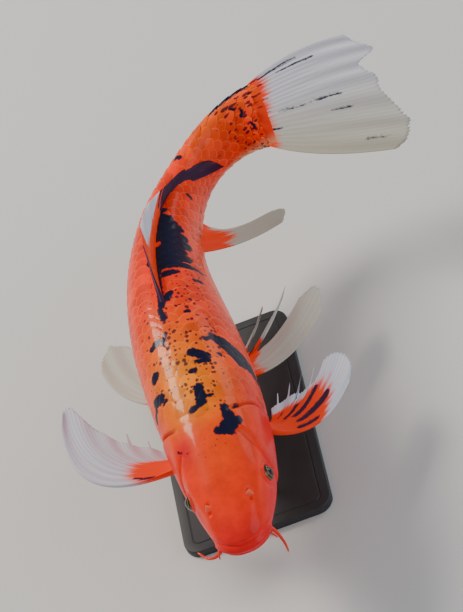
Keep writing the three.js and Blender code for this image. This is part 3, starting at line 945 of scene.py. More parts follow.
@dataclass(frozen=True)
class EyeFinish:
    """A wet fish eye: black pupil, thin gold ring and dark mottled iris under one clear gloss."""

    name: str = "koi_eye_wet"
    pupil: str = "#050508"
    ring: str = "#B07A28"
    iris: str = "#1A1620"
    rim: str = "#8A6420"
    lid: str = "#A02810"
    fleck_mm: float = 1.2

    def build(self) -> bpy.types.Material:
        """Makes the material, ringed by the distance from the eye's own axis.

        Returns:
            The material.
        """
        look = Look(self.name)
        outward = look.add("Attribute", read="Fac", attribute_name="outward")
        place = look.add("TexCoord", read="Object")
        fleck = look.add("TexNoise", {"Vector": place, "Scale": per_metre(self.fleck_mm), "Detail": 3.0})
        wavy = look.add("Math", {0: fleck, 1: 0.06, 2: outward}, operation="MULTIPLY_ADD")
        bands = look.add("ValToRGB", {"Fac": wavy}, stops=(
            (0.0, self.pupil), (1.0, self.lid), (0.43, self.pupil), (0.445, self.ring),
            (0.465, self.ring), (0.49, self.iris), (0.6, self.iris), (0.66, self.rim), (0.72, self.lid)))
        # The cornea is one smooth wet dome: its highlight is small and mirror-sharp over a dull iris.
        return look.done({
            "Base Color": bands,
            "Roughness": 0.2,
            "Specular IOR Level": 0.2,
            "Coat Weight": 0.7,
            "Coat Roughness": 0.02,
        })


@dataclass(frozen=True)
class SteelFinish:
    """Brushed stainless steel: fine lines along the bar stretch its highlights across them."""

    name: str = "stand_brushed_steel"
    base: str = "#B9BCBE"
    grit_mm: float = 0.35

    def build(self) -> bpy.types.Material:
        """Makes the material, with its brush lines running up the rods.

        Returns:
            The material.
        """
        look = Look(self.name)
        place = look.add("TexCoord", read="Object")
        lines = look.add("VectorMath", {0: place, 1: (1.0, 1.0, 0.03)}, operation="MULTIPLY")
        brush = look.add("TexNoise", {"Vector": lines, "Scale": per_metre(self.grit_mm), "Detail": 2.0})
        # Grooves of uneven depth make the grey shift from line to line as light runs over it.
        return look.done({
            "Base Color": colour(self.base),
            "Metallic": 1.0,
            "Roughness": look.add("MapRange", {"Value": brush, "To Min": 0.24, "To Max": 0.44}),
            "Normal": look.add("Bump", {"Strength": 0.15, "Distance": 0.02 * MM, "Height": brush}),
        })


@dataclass(frozen=True)
class PowderCoatFinish:
    """Black powder coat, baked on: an even satin skin with a faint orange-peel texture."""

    name: str = "stand_powder_coat"
    base: str = "#2B2D30"
    dusty: str = "#34373A"
    peel_mm: float = 0.9
    dust_mm: float = 40.0

    def build(self) -> bpy.types.Material:
        """Makes the material.

        Returns:
            The material.
        """
        look = Look(self.name)
        place = look.add("TexCoord", read="Object")
        peel = look.add("TexNoise", {"Vector": place, "Scale": per_metre(self.peel_mm), "Detail": 1.0})
        dust = look.add("TexNoise", {"Vector": place, "Scale": per_metre(self.dust_mm), "Detail": 5.0})
        # A trace of dust lifts the black and dulls its sheen in broad soft patches.
        shade = look.add("ValToRGB", {"Fac": dust}, stops=((0.35, self.base), (0.75, self.dusty)))
        return look.done({
            "Base Color": shade,
            "Roughness": look.add("MapRange", {"Value": dust, "To Min": 0.42, "To Max": 0.6}),
            "Normal": look.add("Bump", {"Strength": 0.3, "Distance": 0.05 * MM, "Height": peel}),
        })


@dataclass(frozen=True)
class FloorFinish:
    """Matt painted studio floor, plain and pale."""

    name: str = "studio_floor_paint"
    base: str = "#D9DAD8"
    wear_mm: float = 1000 / 3

    def build(self) -> bpy.types.Material:
        """Makes the material.

        Returns:
            The material.
        """
        look = Look(self.name)
        place = look.add("TexCoord", read="Object")
        wear = look.add("TexNoise", {"Vector": place, "Scale": per_metre(self.wear_mm), "Detail": 6.0})
        # Slightly uneven matt paint gives soft shadows and no reflections.
        return look.done({
            "Base Color": colour(self.base),
            "Roughness": look.add("MapRange", {"Value": wear, "To Min": 0.7, "To Max": 0.9}),
        })


# ---- Skin -----------------------------------------------------------------------------------------


@dataclass(frozen=True)
class Ridge:
    """A soft ridge, or a groove if its height is negative, in millimetres from a line."""

    height: float
    at: float
    width: float

    def over(self, distance: Array) -> Array:
        """Its height at distances from the line."""
        return self.height * bell(distance - self.at, self.width)


@dataclass(frozen=True)
class Skin:
    """One skin over head, gill covers, lips, trunk and tail stem, with the head's features sculpted."""

    coat_depth: float = 0.8  # millimetres from the solids' surface in to the skin
    around: int = 256
    snout_rings: int = 34
    head_end: float = 0.26
    head_step: float = 0.9
    trunk_step: float = 2.0
    last_ring: float = 0.998
    flare_rings: int = 9
    flare_length: float = 8.0
    flare_crown: float = 5.0  # how much further the flare runs on at the top and bottom
    flare_thinning: float = 0.84
    flare_growth: float = 0.06

    mouth_length: float = 19.0
    mouth_front: float = -4.5  # height of the slit at its front
    mouth_sag: float = -4.5  # from there to its corner
    upper_lip: Ridge = Ridge(2.0, 3.3, 2.6)
    lower_lip: Ridge = Ridge(1.5, -3.3, 2.4)
    mouth_slit: Ridge = Ridge(-3.2, 0, 0.9)
    snout_fold: Ridge = Ridge(-1.1, 8.5, 1.2)
    snout_fold_slope: float = 0.15
    chin_fold: Ridge = Ridge(-0.8, -8, 1.2)

    nostril_pits: tuple[tuple[float, Ridge], ...] = (  # each with how far back it lies
        (-2.6, Ridge(-2.4, 0, 1.6)), (3.0, Ridge(-2.8, 0, 2.1)))
    nostril_mound: Ridge = Ridge(1.0, 0, 3.6)
    nostril_stretch: float = 1.7

    gill_cover_rise: float = 1.7
    gill_slit: Ridge = Ridge(-2.8, 1.6, 1.7)
    cheek_groove: Ridge = Ridge(-1.2, 0, 1.5)
    cover_seam: Ridge = Ridge(-0.5, 122, 3)  # in degrees round the head
    nape: Ridge = Ridge(-0.15, 0, 2.5)

    eye_rim: Ridge = Ridge(1.1, 7.6, 1.3)
    eye_trough: Ridge = Ridge(-0.5, 10.5, 1.6)
    socket_depth: float = 3.5
    socket_edge: tuple[float, float] = (4.8, 6.9)

    brow: SoftSpot = SoftSpot(1.3, 0.105, 0.045, 54, 12)
    snout_hollow: SoftSpot = SoftSpot(-1.1, 0.075, 0.025, 62, 12)
    cheek: SoftSpot = SoftSpot(1.2, 0.12, 0.04, 108, 18)
    crown: SoftSpot = SoftSpot(-0.5, 0.1, 0.05, 0, 9)

    def stations(self) -> Array:
        """Rings of the skin, closest together over the snout.

        Returns:
            Places along the body.
        """
        form = FORM
        snout = form.snout_length * np.linspace(0.02, 1, self.snout_rings) ** 2
        head = np.arange(form.snout_length, self.head_end, self.head_step / form.standard_length)
        trunk = np.arange(self.head_end, self.last_ring, self.trunk_step / form.standard_length)
        return np.concatenate([snout, head[1:], trunk, [self.last_ring]])

    def relief(self, station: Array, angle: Array) -> Array:
        """Sculpted height of the skin, in millimetres out of the plain body.

        Args:
            station: Places along the body.
            angle: Degrees from the ridge, from -180 to 180.

        Returns:
            Heights.
        """
        side = np.abs(angle)
        _, up = FORM.section(station, angle)
        spots = (self.brow, self.snout_hollow, self.cheek, self.crown)
        return (
            self._mouth(station * FORM.standard_length, up)
            + self._nostrils(station, angle)
            + self._gill_covers(station, side)
            + self._eye_sockets(station, angle)
            + sum(spot.at(station, side) for spot in spots)
        )

    def _mouth(self, back: Array, up: Array) -> Array:
        """Two rounded lips with a slit between them, and a fold above and below.

        Args:
            back: Millimetres from the snout.
            up: Millimetres over the axis.

        Returns:
            Heights in millimetres.
        """
        height = up - (self.mouth_front + self.mouth_sag * np.clip(back / self.mouth_length, 0, 1) ** 2)
        shape = self.upper_lip.over(height) + self.lower_lip.over(height) + self.mouth_slit.over(height)
        folds = self.snout_fold.over(height - self.snout_fold_slope * back) + self.chin_fold.over(height)
        return (1 - smoothstep(self.mouth_length - 4, self.mouth_length + 3, back)) * (shape + folds)

    def _nostrils(self, station: Array, angle: Array) -> Array:
        """Two pits on either side, with a low mound between them that carries the flap.

        Args:
            station: Places along the body.
            angle: Degrees from the ridge.

        Returns:
            Heights in millimetres.
        """
        middle = UNROLLED.arc(*(np.full(station.shape, value) for value in NOSTRIL))
        along = (station - NOSTRIL[0]) * FORM.standard_length
        across = UNROLLED.arc(station, np.abs(angle)) - middle
        pits = sum(pit.over(np.hypot(along - back, across)) for back, pit in self.nostril_pits)
        return pits + self.nostril_mound.over(np.hypot(along / self.nostril_stretch, across))

    def _gill_covers(self, station: Array, side: Array) -> Array:
        """Gill covers that stand proud, with the slit behind them and the cheek's groove in front.

        Args:
            station: Places along the body.
            side: Degrees from the ridge, to either side.

        Returns:
            Heights in millimetres.
        """
        rear = (station - smooth_table(FORM.gill_edge, side)) * FORM.standard_length
        front = (station - smooth_table(FORM.gill_front, side)) * FORM.standard_length
        span = smoothstep(26, 46, side)
        plate = self.gill_cover_rise * smoothstep(-3, 9, front) * (1 - smoothstep(-0.8, 0.5, rear))
        cheek = smoothstep(34, 48, side) * (1 - smoothstep(150, 165, side))
        on_cover = smoothstep(0, 6, front) * (1 - smoothstep(-6, 0, rear))
        return (
            span * (plate + self.gill_slit.over(rear))
            + self.cheek_groove.over(front) * cheek
            + self.cover_seam.over(side + 0.9 * rear) * on_cover
            + self.nape.over(rear) * (1 - span)
        )

    def _eye_sockets(self, station: Array, angle: Array) -> Array:
        """A raised rim round each eye, and the hollow that the eyeball sits in.

        Args:
            station: Places along the body.
            angle: Degrees from the ridge.

        Returns:
            Heights in millimetres.
        """
        centre = FORM.surface(EYE_SEAT.station, EYE_SEAT.angle)
        gap = np.linalg.norm(FORM.surface(station, np.abs(angle)) - centre, axis=-1)
        hollow = self.socket_depth * (1 - smoothstep(*self.socket_edge, gap))
        return self.eye_rim.over(gap) + self.eye_trough.over(gap) - hollow

    def tail_root(self, turns: Array) -> Array:
        """Rings that draw the tail's stem out to a thin edge over the roots of the tail fin's rays.

        Args:
            turns: Degrees from the ridge of the places on a ring.

        Returns:
            Points, (rings, places, 3).
        """
        share = np.linspace(0, 1, self.flare_rings + 1)[1:, None]
        left, up = FORM.section(np.ones(len(turns)), turns, -self.coat_depth)
        back = share * (self.flare_length + self.flare_crown * np.cos(np.radians(turns)) ** 4)
        width = 1 - self.flare_thinning * smoothstep(-0.5, 1.0, share) ** 1.2
        height = 1 + self.flare_growth * share
        offset = np.stack(np.broadcast_arrays(back, left * width, up * height), -1)
        return FORM.place(np.ones(offset.shape[:2]), offset)

    def build(self, material: bpy.types.Material) -> None:
        """Makes the skin, in the place of all nodes of flesh.

        Args:
            material: Finish of the skin.
        """
        turns = np.linspace(-180, 180, self.around, endpoint=False)
        station, angle = np.meshgrid(self.stations(), turns, indexing="ij")
        base = FORM.surface(station, angle, -self.coat_depth * smoothstep(0, 0.03, station))
        wrapped = np.concatenate([base[:, -1:], base, base[:, :1]], 1)
        normal = normals_of(wrapped)[:, 1:-1]
        outward = np.sign(np.sum(normal * (base - FORM.spine(station)), -1).sum())
        points = base + normal * outward * self.relief(station, angle)[..., None]
        points = np.concatenate([points, self.tail_root(turns)])
        station = np.concatenate([station, np.ones((self.flare_rings, self.around))])
        angle = np.concatenate([angle, np.tile(turns, (self.flare_rings, 1))])
        hubs = np.stack([points[0].mean(0), points[-1].mean(0)])
        count = station.size
        ring = np.arange(self.around)
        faces = np.concatenate([
            grid_faces(len(points), self.around, closed=True),
            fan(count, ring, flip=True),
            fan(count + 1, count - self.around + ring)])
        weights = MARKINGS.weights(
            np.concatenate([station.ravel(), [0.0, 1.0]]), np.concatenate([angle.ravel(), [0.0, 0.0]]))
        mesh = metres(np.concatenate([points.reshape(-1, 3), hubs])), faces
        skin = make_piece("koi_skin", material, mesh, weights)
        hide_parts("head", "gill_cover_left", "gill_cover_right", "lip_upper", "lip_lower",
                    "trunk_front", "trunk_rear", "tail_stem")


# ---- Scales ---------------------------------------------------------------------------------------


@dataclass(frozen=True)
class ScaleCoat:
    """Large carp scales in staggered rows from gill covers to tail fin, each a thin domed plate."""

    side_line_count: int = 36
    first_station: float = 0.205
    last_station: float = 0.985
    closing_up: float = 0.93  # below 1, steps get shorter towards the tail
    split: float = 0.5
    fin_base: tuple[float, float] = (0.435, 0.785)
    rows_at_mid: float = 12.5
    most_rows: int = 9  # above or below the side line
    mid_station: float = 0.43
    row_growth: float = 0.6  # how a row's height follows the body's girth
    edge_margin: float = 0.3  # least distance from the ridge and the keel, of a row's height
    gill_gap: float = 0.008
    half_length: float = 0.75  # of a step
    centre_back: float = 0.25  # from a scale's root to its middle, of a step
    level_at: float = 0.85
    half_width: float = 0.74  # of a row's height
    taper: float = 0.16
    margin_height: float = 0.15
    thickness: float = 0.34
    rise: float = 0.09  # how steeply a scale stands off the skin, per millimetre of its length
    uneven_rise: float = 0.005
    uneven_size: float = 0.03
    dome: float = 0.3
    pore_depth: float = 0.5  # of the pit in each scale along the side line
    # How much darker the pit of a pore is painted, as painted shade.
    pore_painted_shade: float = 6.0
    ring_shares: tuple[float, ...] = (0.3, 0.56, 0.78, 0.93, 1.0)
    sides: int = 26
    patch: float = 0.003  # width of a scale's place on the skin's unwrap
    unwrap_turn: float = 363.0  # degrees across the unwrap, a little over a full turn

    def columns(self) -> Array:
        """Stations of the half steps along the side line, closing up towards the tail."""
        share = np.linspace(0, 1, 2 * self.side_line_count + 1)
        return self.first_station + (self.last_station - self.first_station) * share**self.closing_up

    def roots(self) -> tuple[Array, Array, Array, Array]:
        """Places of all scales.

        Returns:
            Station, arc from the ridge, length of a step and height of a row, in millimetres.
        """
        columns = self.columns()
        girths = UNROLLED.half_girth(columns)
        middle = float(UNROLLED.half_girth(self.mid_station))
        heights = middle / self.rows_at_mid * (girths / middle) ** self.row_growth
        steps = np.gradient(columns) * 2 * FORM.standard_length
        rows = np.arange(-self.most_rows, self.most_rows + 1)
        found = []
        for column, (station, girth, height) in enumerate(zip(columns, girths, heights)):
            arcs = girth / 2 + rows[(rows + column) % 2 == 0] * height
            margin = self.edge_margin * height
            arcs = arcs[(arcs > margin) & (arcs < girth - margin)]
            angles = UNROLLED.angle(np.full(arcs.shape, station), arcs)
            arcs = arcs[station > smooth_table(FORM.gill_edge, angles) + self.gill_gap]
            middles = []
            if column % 2 == 0:
                middles = [girth] if self.fin_base[0] < station < self.fin_base[1] else [0.0, girth]
            for arc in (*arcs, *-arcs, *middles):
                found.append((station, arc, steps[column], height))
        return tuple(np.array(found).T)

    def plate(self) -> tuple[Array, Array, Array, Array]:
        """One scale on a disc: rings of vertices from its middle out, and a lower rim.

        Returns:
            Radius shares and turns of the vertices, whether each is on the upper side, and the faces.
        """
        turns = np.linspace(0, 2 * np.pi, self.sides, endpoint=False)
        radius, turn = (grid.ravel() for grid in np.meshgrid(self.ring_shares, turns, indexing="ij"))
        count = len(radius)
        rim = np.arange(self.sides)
        after = np.roll(rim, -1)
        edge, hub = count - self.sides, count + self.sides
        faces = np.concatenate([
            grid_faces(len(self.ring_shares), self.sides, closed=True),
            fan(hub, rim, flip=True),
            np.stack([edge + rim, edge + after, count + after, count + rim], -1),
            fan(hub + 1, count + rim)])
        upper = np.concatenate([np.ones(count, bool), np.zeros(self.sides, bool), [True, False]])
        return (
            np.concatenate([radius, np.ones(self.sides), [0, 0]]),
            np.concatenate([turn, turns, [0, 0]]),
            upper,
            faces,
        )

    def build(self, material: bpy.types.Material) -> None:
        """Makes the scales in four pieces, fore and aft on either side.

        Args:
            material: Finish of the scales.
        """
        roots = self.roots()
        left, front = roots[1] > 0, roots[0] < self.split
        groups = (
            ("left_front", left & front), ("left_rear", left & ~front),
            ("right_front", ~left & front), ("right_rear", ~left & ~front))
        for index, (name, chosen) in enumerate(groups):
            rng = np.random.default_rng((SEED, index))
            mesh, weights, places = self.lay([column[chosen][:, None] for column in roots], rng)
            piece = make_piece(f"koi_scales_{name}", material, mesh, weights, places)

    def lay(
        self, roots: Sequence[Array], rng: np.random.Generator
    ) -> tuple[Mesh, dict[str, Array], Array]:
        """Lays scales on the skin, no two quite alike.

        Args:
            roots: Their stations, arcs, steps and row heights, one row each.
            rng: Source of their unevenness.

        Returns:
            Their joined mesh, colour weights and UV places.
        """
        station, arc, step, row_height = roots
        radius, turn, upper, shape = self.plate()
        longer, wider, steeper, tone = rng.normal(0, 1, (4, len(station), 1))
        length = self.half_length * step * (1 + self.uneven_size * longer)
        along = radius * np.cos(turn) * length + self.centre_back * step
        width = self.half_width * row_height * (1 + self.uneven_size * wider)
        across = radius * np.sin(turn) * width * (1 - self.taper * smoothstep(0, 1, np.cos(turn)))
        s = np.clip(station + along / FORM.standard_length, 0, 1)
        a = UNROLLED.angle(s, arc + across)

        on_line = np.isclose(np.abs(arc), UNROLLED.half_girth(station) / 2)
        pore = on_line * upper * (radius == 0)
        lift = (along - self.level_at * step) * (self.rise + self.uneven_rise * steeper)
        lift = lift + self.margin_height + self.dome * (1 - radius**2)
        lift = lift - np.where(upper, 0, self.thickness) - self.pore_depth * pore
        faces = shape + np.arange(len(station))[:, None, None] * len(radius)

        patch = self.patch / 2 * radius
        middle = 0.5 + UNROLLED.angle(station, arc) / self.unwrap_turn
        places = np.stack([middle + patch * np.sin(turn), station + patch * np.cos(turn)], -1)
        # The rear free edge of each scale gets a paler, golder colour: partly its own thin edge, partly a
        # painted sheen.
        rim = smoothstep(0.8, 1.0, radius) * smoothstep(-0.2, 0.5, np.cos(turn)) * upper
        weights = MARKINGS.weights(s.ravel(), ((a + 180) % 360 - 180).ravel())
        # Painted shade darkens the pit of each pore on the side line.
        weights["tone"] = (tone - self.pore_painted_shade * pore).ravel()
        weights["rim"] = np.broadcast_to(rim, s.shape).ravel()
        points = metres(FORM.surface(s, a, lift)).reshape(-1, 3)
        return (points, faces.reshape(-1, 4)), weights, places.reshape(-1, 2)


# ---- Fins -----------------------------------------------------------------------------------------


def curve_through(knots: Array, share: Array) -> Array:
    """Smooth curve through evenly timed points.

    Args:
        knots: Points, (count, 3).
        share: Where to read it, 0 at the first point and 1 at the last.

    Returns:
        Points of the curve.
    """
    ends = [2 * knots[0] - knots[1], 2 * knots[-1] - knots[-2]]
    padded = np.concatenate([ends[:1], knots, ends[1:]])
    at = np.clip(share, 0, 1) * (len(knots) - 1)
    low = np.minimum(at.astype(int), len(knots) - 2)
    t = (at - low)[:, None]
    a, b, c, d = (padded[low + step] for step in range(4))
    return b + 0.5 * t * (c - a + t * (2 * a - 5 * b + 4 * c - d + t * (3 * (b - c) + d - a)))


@dataclass(frozen=True)
class FinPaint:
    """Colours of a fin.

    `flesh` is how far out the body's colour runs at each place across the fin, `feather` how far its
    points reach past that, and `olive` how greenish the web is.
    """

    flesh: Table
    black: tuple[Blot, ...] = ()
    feather: float = 0.12
    olive: Table = ((0, 0.0), (1, 0.0))


@dataclass(frozen=True)
class FinShape:
    """A fin's planned rays as [back, left, up] in millimetres, and how it is drawn and painted.

    `bends` and `tips` start from `station`, or for a fin on the midline from each ray's own root.
    `margin` is how far out the web reaches at each place across the fin, as a share of the rays, and
    `free_rays` are places where a single ray runs on past it, as far as `free_reach`.
    """

    name: str
    bends: tuple[Triple, ...]
    tips: tuple[Triple, ...]
    paint: FinPaint
    rays: int
    size: tuple[float, float]
    station: float = 1.0
    roots: tuple[Triple, Triple] | None = None
    heights: tuple[float, ...] = ()
    stations: tuple[float, ...] = ()
    angle: float = 0.0
    root_thickness: float = 4.0
    margin: Table = ((0, 1.0), (1, 1.0))
    free_rays: tuple[float, ...] = ()
    free_reach: float = 1.0
    lead: float = 0.35


@dataclass(frozen=True)
class FinMaker:
    """Draws a fin as bony rays that branch towards the margin, joined by a thin web."""

    tip_thickness: float = 0.62
    web_thickness: float = 0.5
    ray_height: float = 0.18
    weakest_ray: float = 0.35  # of the height of the strongest
    columns_per_ray: int = 8
    rows: int = 40
    root_back: float = -4.0
    sunk: float = 4.0
    wave: float = 0.6  # height of the soft folds across the web
    rays_per_fold: float = 3.3
    root_curve: float = 2.6  # how soon the root's thickness is lost outward
    scallop: float = 0.017
    ragged: float = 0.03
    no_black: float = -6.0  # what the black's depth reads where there is none

    def knots(self, shape: FinShape) -> tuple[Array, Array, Array]:
        """Roots, bends and tips of the planned rays, in millimetres from the snout.

        Args:
            shape: The fin.

        Returns:
            Three rows of points, (rays, 3).
        """
        bends, tips = np.array(shape.bends, float), np.array(shape.tips, float)
        if shape.stations:
            stations = np.array(shape.stations)
            roots = FORM.surface(stations, shape.angle, -self.sunk)
            back, left, up = FORM.axes(stations)
            ends = [
                roots + back * offset[:, :1] + left * offset[:, 1:2] + up * offset[:, 2:]
                for offset in (bends, tips)]
            return roots, *ends
        stations = np.full(len(bends), shape.station)
        if shape.heights:
            roots = np.array([(self.root_back, 0, height) for height in shape.heights], float)
        else:
            share = np.linspace(0, 1, len(bends))[:, None]
            first, last = (np.array(end, float) for end in shape.roots)
            roots = first + (last - first) * share
        return tuple(FORM.place(stations, offset) for offset in (roots, bends, tips))

    def margin(self, shape: FinShape, across: Array, rib: Array) -> Array:
        """How far out the fin reaches at each place across it, with its web drawn in between rays.

        Args:
            shape: The fin.
            across: Places across it.
            rib: Height of the rays there.

        Returns:
            Shares of the planned length.
        """
        rng = np.random.default_rng((SEED, len(shape.name), shape.rays))
        lengths = 1 - self.ragged * rng.random(shape.rays + 1)
        reach = np.interp(across * shape.rays, np.arange(shape.rays + 1), lengths)
        notch = self.scallop * (1 - rib) * self.strengths(shape, across)
        reach = reach * np.interp(across, *np.array(shape.margin, float).T) - notch
        for place in shape.free_rays:
            ray = 1 - smoothstep(0.05, 0.4, np.abs(across - place) * shape.rays)
            reach = np.maximum(reach, shape.free_reach * ray)
        return reach

    def ribs(self, shape: FinShape, across: Array, outward: Array) -> Array:
        """Height of the rays from 0 to 1, each split in two beyond the middle of its length.

        Args:
            shape: The fin.
            across: Places across it.
            outward: Places from root to tip.

        Returns:
            Heights.
        """
        turn = 2 * np.pi * shape.rays * across
        whole, split = (0.5 + 0.5 * np.cos(turn + np.pi)) ** 2, (0.5 - 0.5 * np.cos(2 * turn)) ** 1.5
        branched = smoothstep(0.45, 0.7, outward)
        return whole * (1 - branched) + split * branched

    def strengths(self, shape: FinShape, across: Array) -> Array:
        """How tall each ray stands against its neighbours.

        Args:
            shape: The fin.
            across: Places across it.

        Returns:
            Shares of the full height.
        """
        rng = np.random.default_rng((SEED, shape.rays, 2))
        heights = rng.uniform(self.weakest_ray, 1, 2 * shape.rays + 1)
        return np.interp(across * 2 * shape.rays, np.arange(2 * shape.rays + 1), heights)

    def sides(self, shape: FinShape, across: Array, outward: Array, rib: Array) -> tuple[Array, Array]:
        """The fin's two sides as grids of points, half its thickness off its middle.

        Args:
            shape: The fin.
            across: Places across it.
            outward: Places from root to tip.
            rib: Height of the rays.

        Returns:
            Points of the upper and of the under side, (rows, columns, 3).
        """
        root, bend, tip = (curve_through(knots, across) for knots in self.knots(shape))
        v = outward[..., None]
        middle = root * (1 - v) ** 2 + bend * 2 * v * (1 - v) + tip * v**2
        normal = normals_of(middle)
        u = np.broadcast_to(across, outward.shape)
        folds = np.sin(2 * np.pi * (shape.rays / self.rays_per_fold) * u + 1.3 * np.sin(3 * outward))
        middle = middle + normal * (self.wave * folds * smoothstep(0.25, 0.9, outward))[..., None]
        inward = np.maximum(1 - outward, 0)
        body = self.tip_thickness + (shape.root_thickness - self.tip_thickness) * inward**self.root_curve
        lead = shape.lead * bell(u, 0.6 / shape.rays) * inward
        half = np.maximum(body - 2 * self.ray_height, self.web_thickness) / 2
        half = half + self.ray_height * rib * (1 - 0.5 * outward) + lead
        offset = normal * half[..., None]
        return middle + offset, middle - offset

    def paint(self, shape: FinShape, u: Array, outward: Array, rib: Array) -> dict[str, Array]:
        """What the finish reads at each point of one side.

        Args:
            shape: The fin.
            u: Places across it.
            outward: Places from root to tip.
            rib: Height of the rays.

        Returns:
            Named grids of numbers.
        """
        wide, long = shape.size
        black = np.full(outward.shape, self.no_black)
        for blot in shape.paint.black:
            start, end = ((place[0] * wide, place[1] * long) for place in (blot.start, blot.end))
            stroke = Blot(start, end, blot.radius, blot.end_radius)
            black = np.maximum(black, stroke_depth(u * wide, outward * long, stroke, self.no_black))
        return {
            "ray": u * shape.rays,
            "outward": outward,
            "flesh": smooth_table(shape.paint.flesh, u) - outward,
            "black": black,
            "rib": rib,
            "olive": smooth_table(shape.paint.olive, u),
            "feather": np.full(u.shape, shape.paint.feather),
        }

    def build(self, shape: FinShape, material: bpy.types.Material) -> None:
        """Makes one fin, in the place of its solid.

        Args:
            shape: The fin.
            material: Its finish.
        """
        across = np.linspace(0, 1, shape.rays * self.columns_per_ray + 1)
        reach = self.margin(shape, across, self.ribs(shape, across, np.ones(len(across))))
        outward = np.linspace(0, 1, self.rows)[:, None] * reach
        u = np.broadcast_to(across, outward.shape)
        rib = self.ribs(shape, u, outward) * self.strengths(shape, across)
        points, faces = slab(*self.sides(shape, across, outward, rib))
        painted = self.paint(shape, u, outward, rib)
        values = {name: np.tile(grid.ravel(), 2) for name, grid in painted.items()}
        fin = make_piece(f"koi_{shape.name}", material, (metres(points), faces), values)
        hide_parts(shape.name)


def stripes(*rows: tuple[float, float, float, float]) -> tuple[Blot, ...]:
    """Dark streaks along the rays: place across, start and end outward, and half width in mm."""
    return tuple(
        Blot((place, start), (place, end), radius, 0.75 * radius) for place, start, end, radius in rows)


PECTORAL_LEFT = FinShape(
    "fin_pectoral_left", station=0.245, rays=16, size=(95, 110), root_thickness=5,
    roots=((3, 38, -20), (20, 38, -30)),
    bends=((-18, 76, -38), (-6, 77, -38), (2, 76, -37), (10, 72, -36), (12, 64, -34), (18, 58, -32),
           (18, 50, -30), (18, 44, -28)),
    tips=((50, 114, -45), (68, 119, -45), (83, 112, -45), (80, 98, -41), (69, 85, -37), (60, 71, -33),
          (51, 58, -30), (41, 45, -26)),
    margin=((0, 0.96), (0.25, 1), (0.42, 0.97), (0.46, 0.8), (0.6, 0.77), (1, 0.8)),
    free_rays=(0.53, 0.66, 0.78, 0.91),
    paint=FinPaint(
        flesh=((0, 0.58), (0.2, 0.7), (0.42, 0.77), (0.56, 0.66), (0.7, 0.6), (1, 0.55)),
        black=stripes((0.08, 0.3, 0.5, 3.4), (0.24, 0.32, 0.68, 4.6), (0.42, 0.34, 0.72, 4.4),
                      (0.6, 0.3, 0.57, 3.6), (0.78, 0.28, 0.48, 2.6)),
        feather=0.16))

PECTORAL_RIGHT = FinShape(
    "fin_pectoral_right", station=0.245, rays=16, size=(95, 130), root_thickness=5,
    roots=((3, -38, -20), (20, -38, -30)),
    bends=((-22, -137, 0), (-4, -122, 0), (8, -107, -2), (14, -94, -6), (17, -83, -10), (17, -71, -14),
           (18, -59, -19), (21, -47, -24)),
    tips=((80, -119, 10), (95, -113, 7), (86, -101, 2), (72, -90, -4), (60, -80, -9), (53, -69, -14),
          (44, -58, -18), (34, -49, -22)),
    margin=((0, 1), (0.2, 1), (0.4, 0.91), (0.7, 0.84), (1, 0.86)),
    free_rays=(0.66, 0.85),
    paint=FinPaint(
        flesh=((0, 0.2), (0.12, 0.3), (0.5, 0.36), (0.8, 0.34), (1, 0.28)),
        black=(Blot((0.03, 0.14), (0.08, 0.24), 2.6, 1.6),)))

PELVIC_LEFT = FinShape(
    "fin_pelvic_left", station=0.46, rays=9, size=(70, 90),
    roots=((-14, 24, -42), (6, 22, -42)),
    bends=((-24, 70, -54), (-8, 68, -54), (0, 61, -53), (5, 54, -52), (8, 46, -50), (10, 38, -49),
           (9, 30, -47)),
    tips=((45, 118, -58), (68, 116, -58), (67, 103, -57), (66, 89, -56), (58, 74, -54), (50, 58, -51),
          (33, 39, -48)),
    margin=((0, 0.94), (0.12, 1), (0.36, 0.95), (0.42, 0.6), (0.5, 0.42), (1, 0.4)),
    free_rays=(0.61, 0.83), free_reach=1.15,
    paint=FinPaint(
        flesh=((0, 0.26), (0.3, 0.24), (0.5, 0.5), (0.65, 0.6), (1, 0.45)), feather=0.26,
        olive=((0, 0.75), (1, 0.6))))

PELVIC_RIGHT = FinShape(
    "fin_pelvic_right", station=0.46, rays=9, size=(70, 90),
    roots=((-14, -24, -42), (6, -22, -42)),
    bends=((10, -78, -54), (16, -70, -53), (19, -60, -52), (19, -48, -50), (15, -36, -48)),
    tips=((70, -86, -55), (90, -80, -55), (93, -69, -54), (80, -55, -52), (50, -42, -50)),
    paint=FinPaint(flesh=((0, 0.32), (1, 0.3)), olive=((0, 0.7), (1, 0.7))))

DORSAL = FinShape(
    "fin_dorsal", rays=20, size=(170, 60), root_thickness=4.5, lead=0.9, angle=0,
    stations=(0.44, 0.5, 0.56, 0.62, 0.67, 0.71, 0.745, 0.78),
    bends=((26, 0, 15), (24, 1, 14), (22, 2, 12), (18, 1, 10), (16, 2, 9), (20, 5, 5), (20, 12, 0),
           (9, 20, -7)),
    tips=((66, 1, 18), (61, 3, 16), (56, 5, 11), (43, 4, 8), (38, 6, 3), (44, 13, -5), (48, 22, -15),
          (42, 27, -32)),
    paint=FinPaint(
        flesh=((0, 1.4), (0.1, 1.1), (0.16, 0.6), (0.42, 0.55), (0.5, 0.8), (0.56, 1.4), (1, 1.4)),
        black=(Blot((0, 0), (0, 0.56), 2.8), Blot((0, 0.62), (0, 0.76), 2.2),
               Blot((0, 0.82), (0, 0.92), 1.6), Blot((0.08, 0.45), (0.08, 0.75), 0.9),
               Blot((0.56, 0.5), (0.54, 1.0), 3.0),
               Blot((0.62, 0.3), (0.6, 1.0), 5.0), Blot((0.69, 0.2), (0.67, 1.0), 8.0),
               Blot((0.77, 0.12), (0.77, 1.0), 9.5), Blot((0.87, 0.1), (0.87, 1.0), 9.5),
               Blot((0.96, 0.12), (0.97, 1.0), 9.5)),
        feather=0.2))

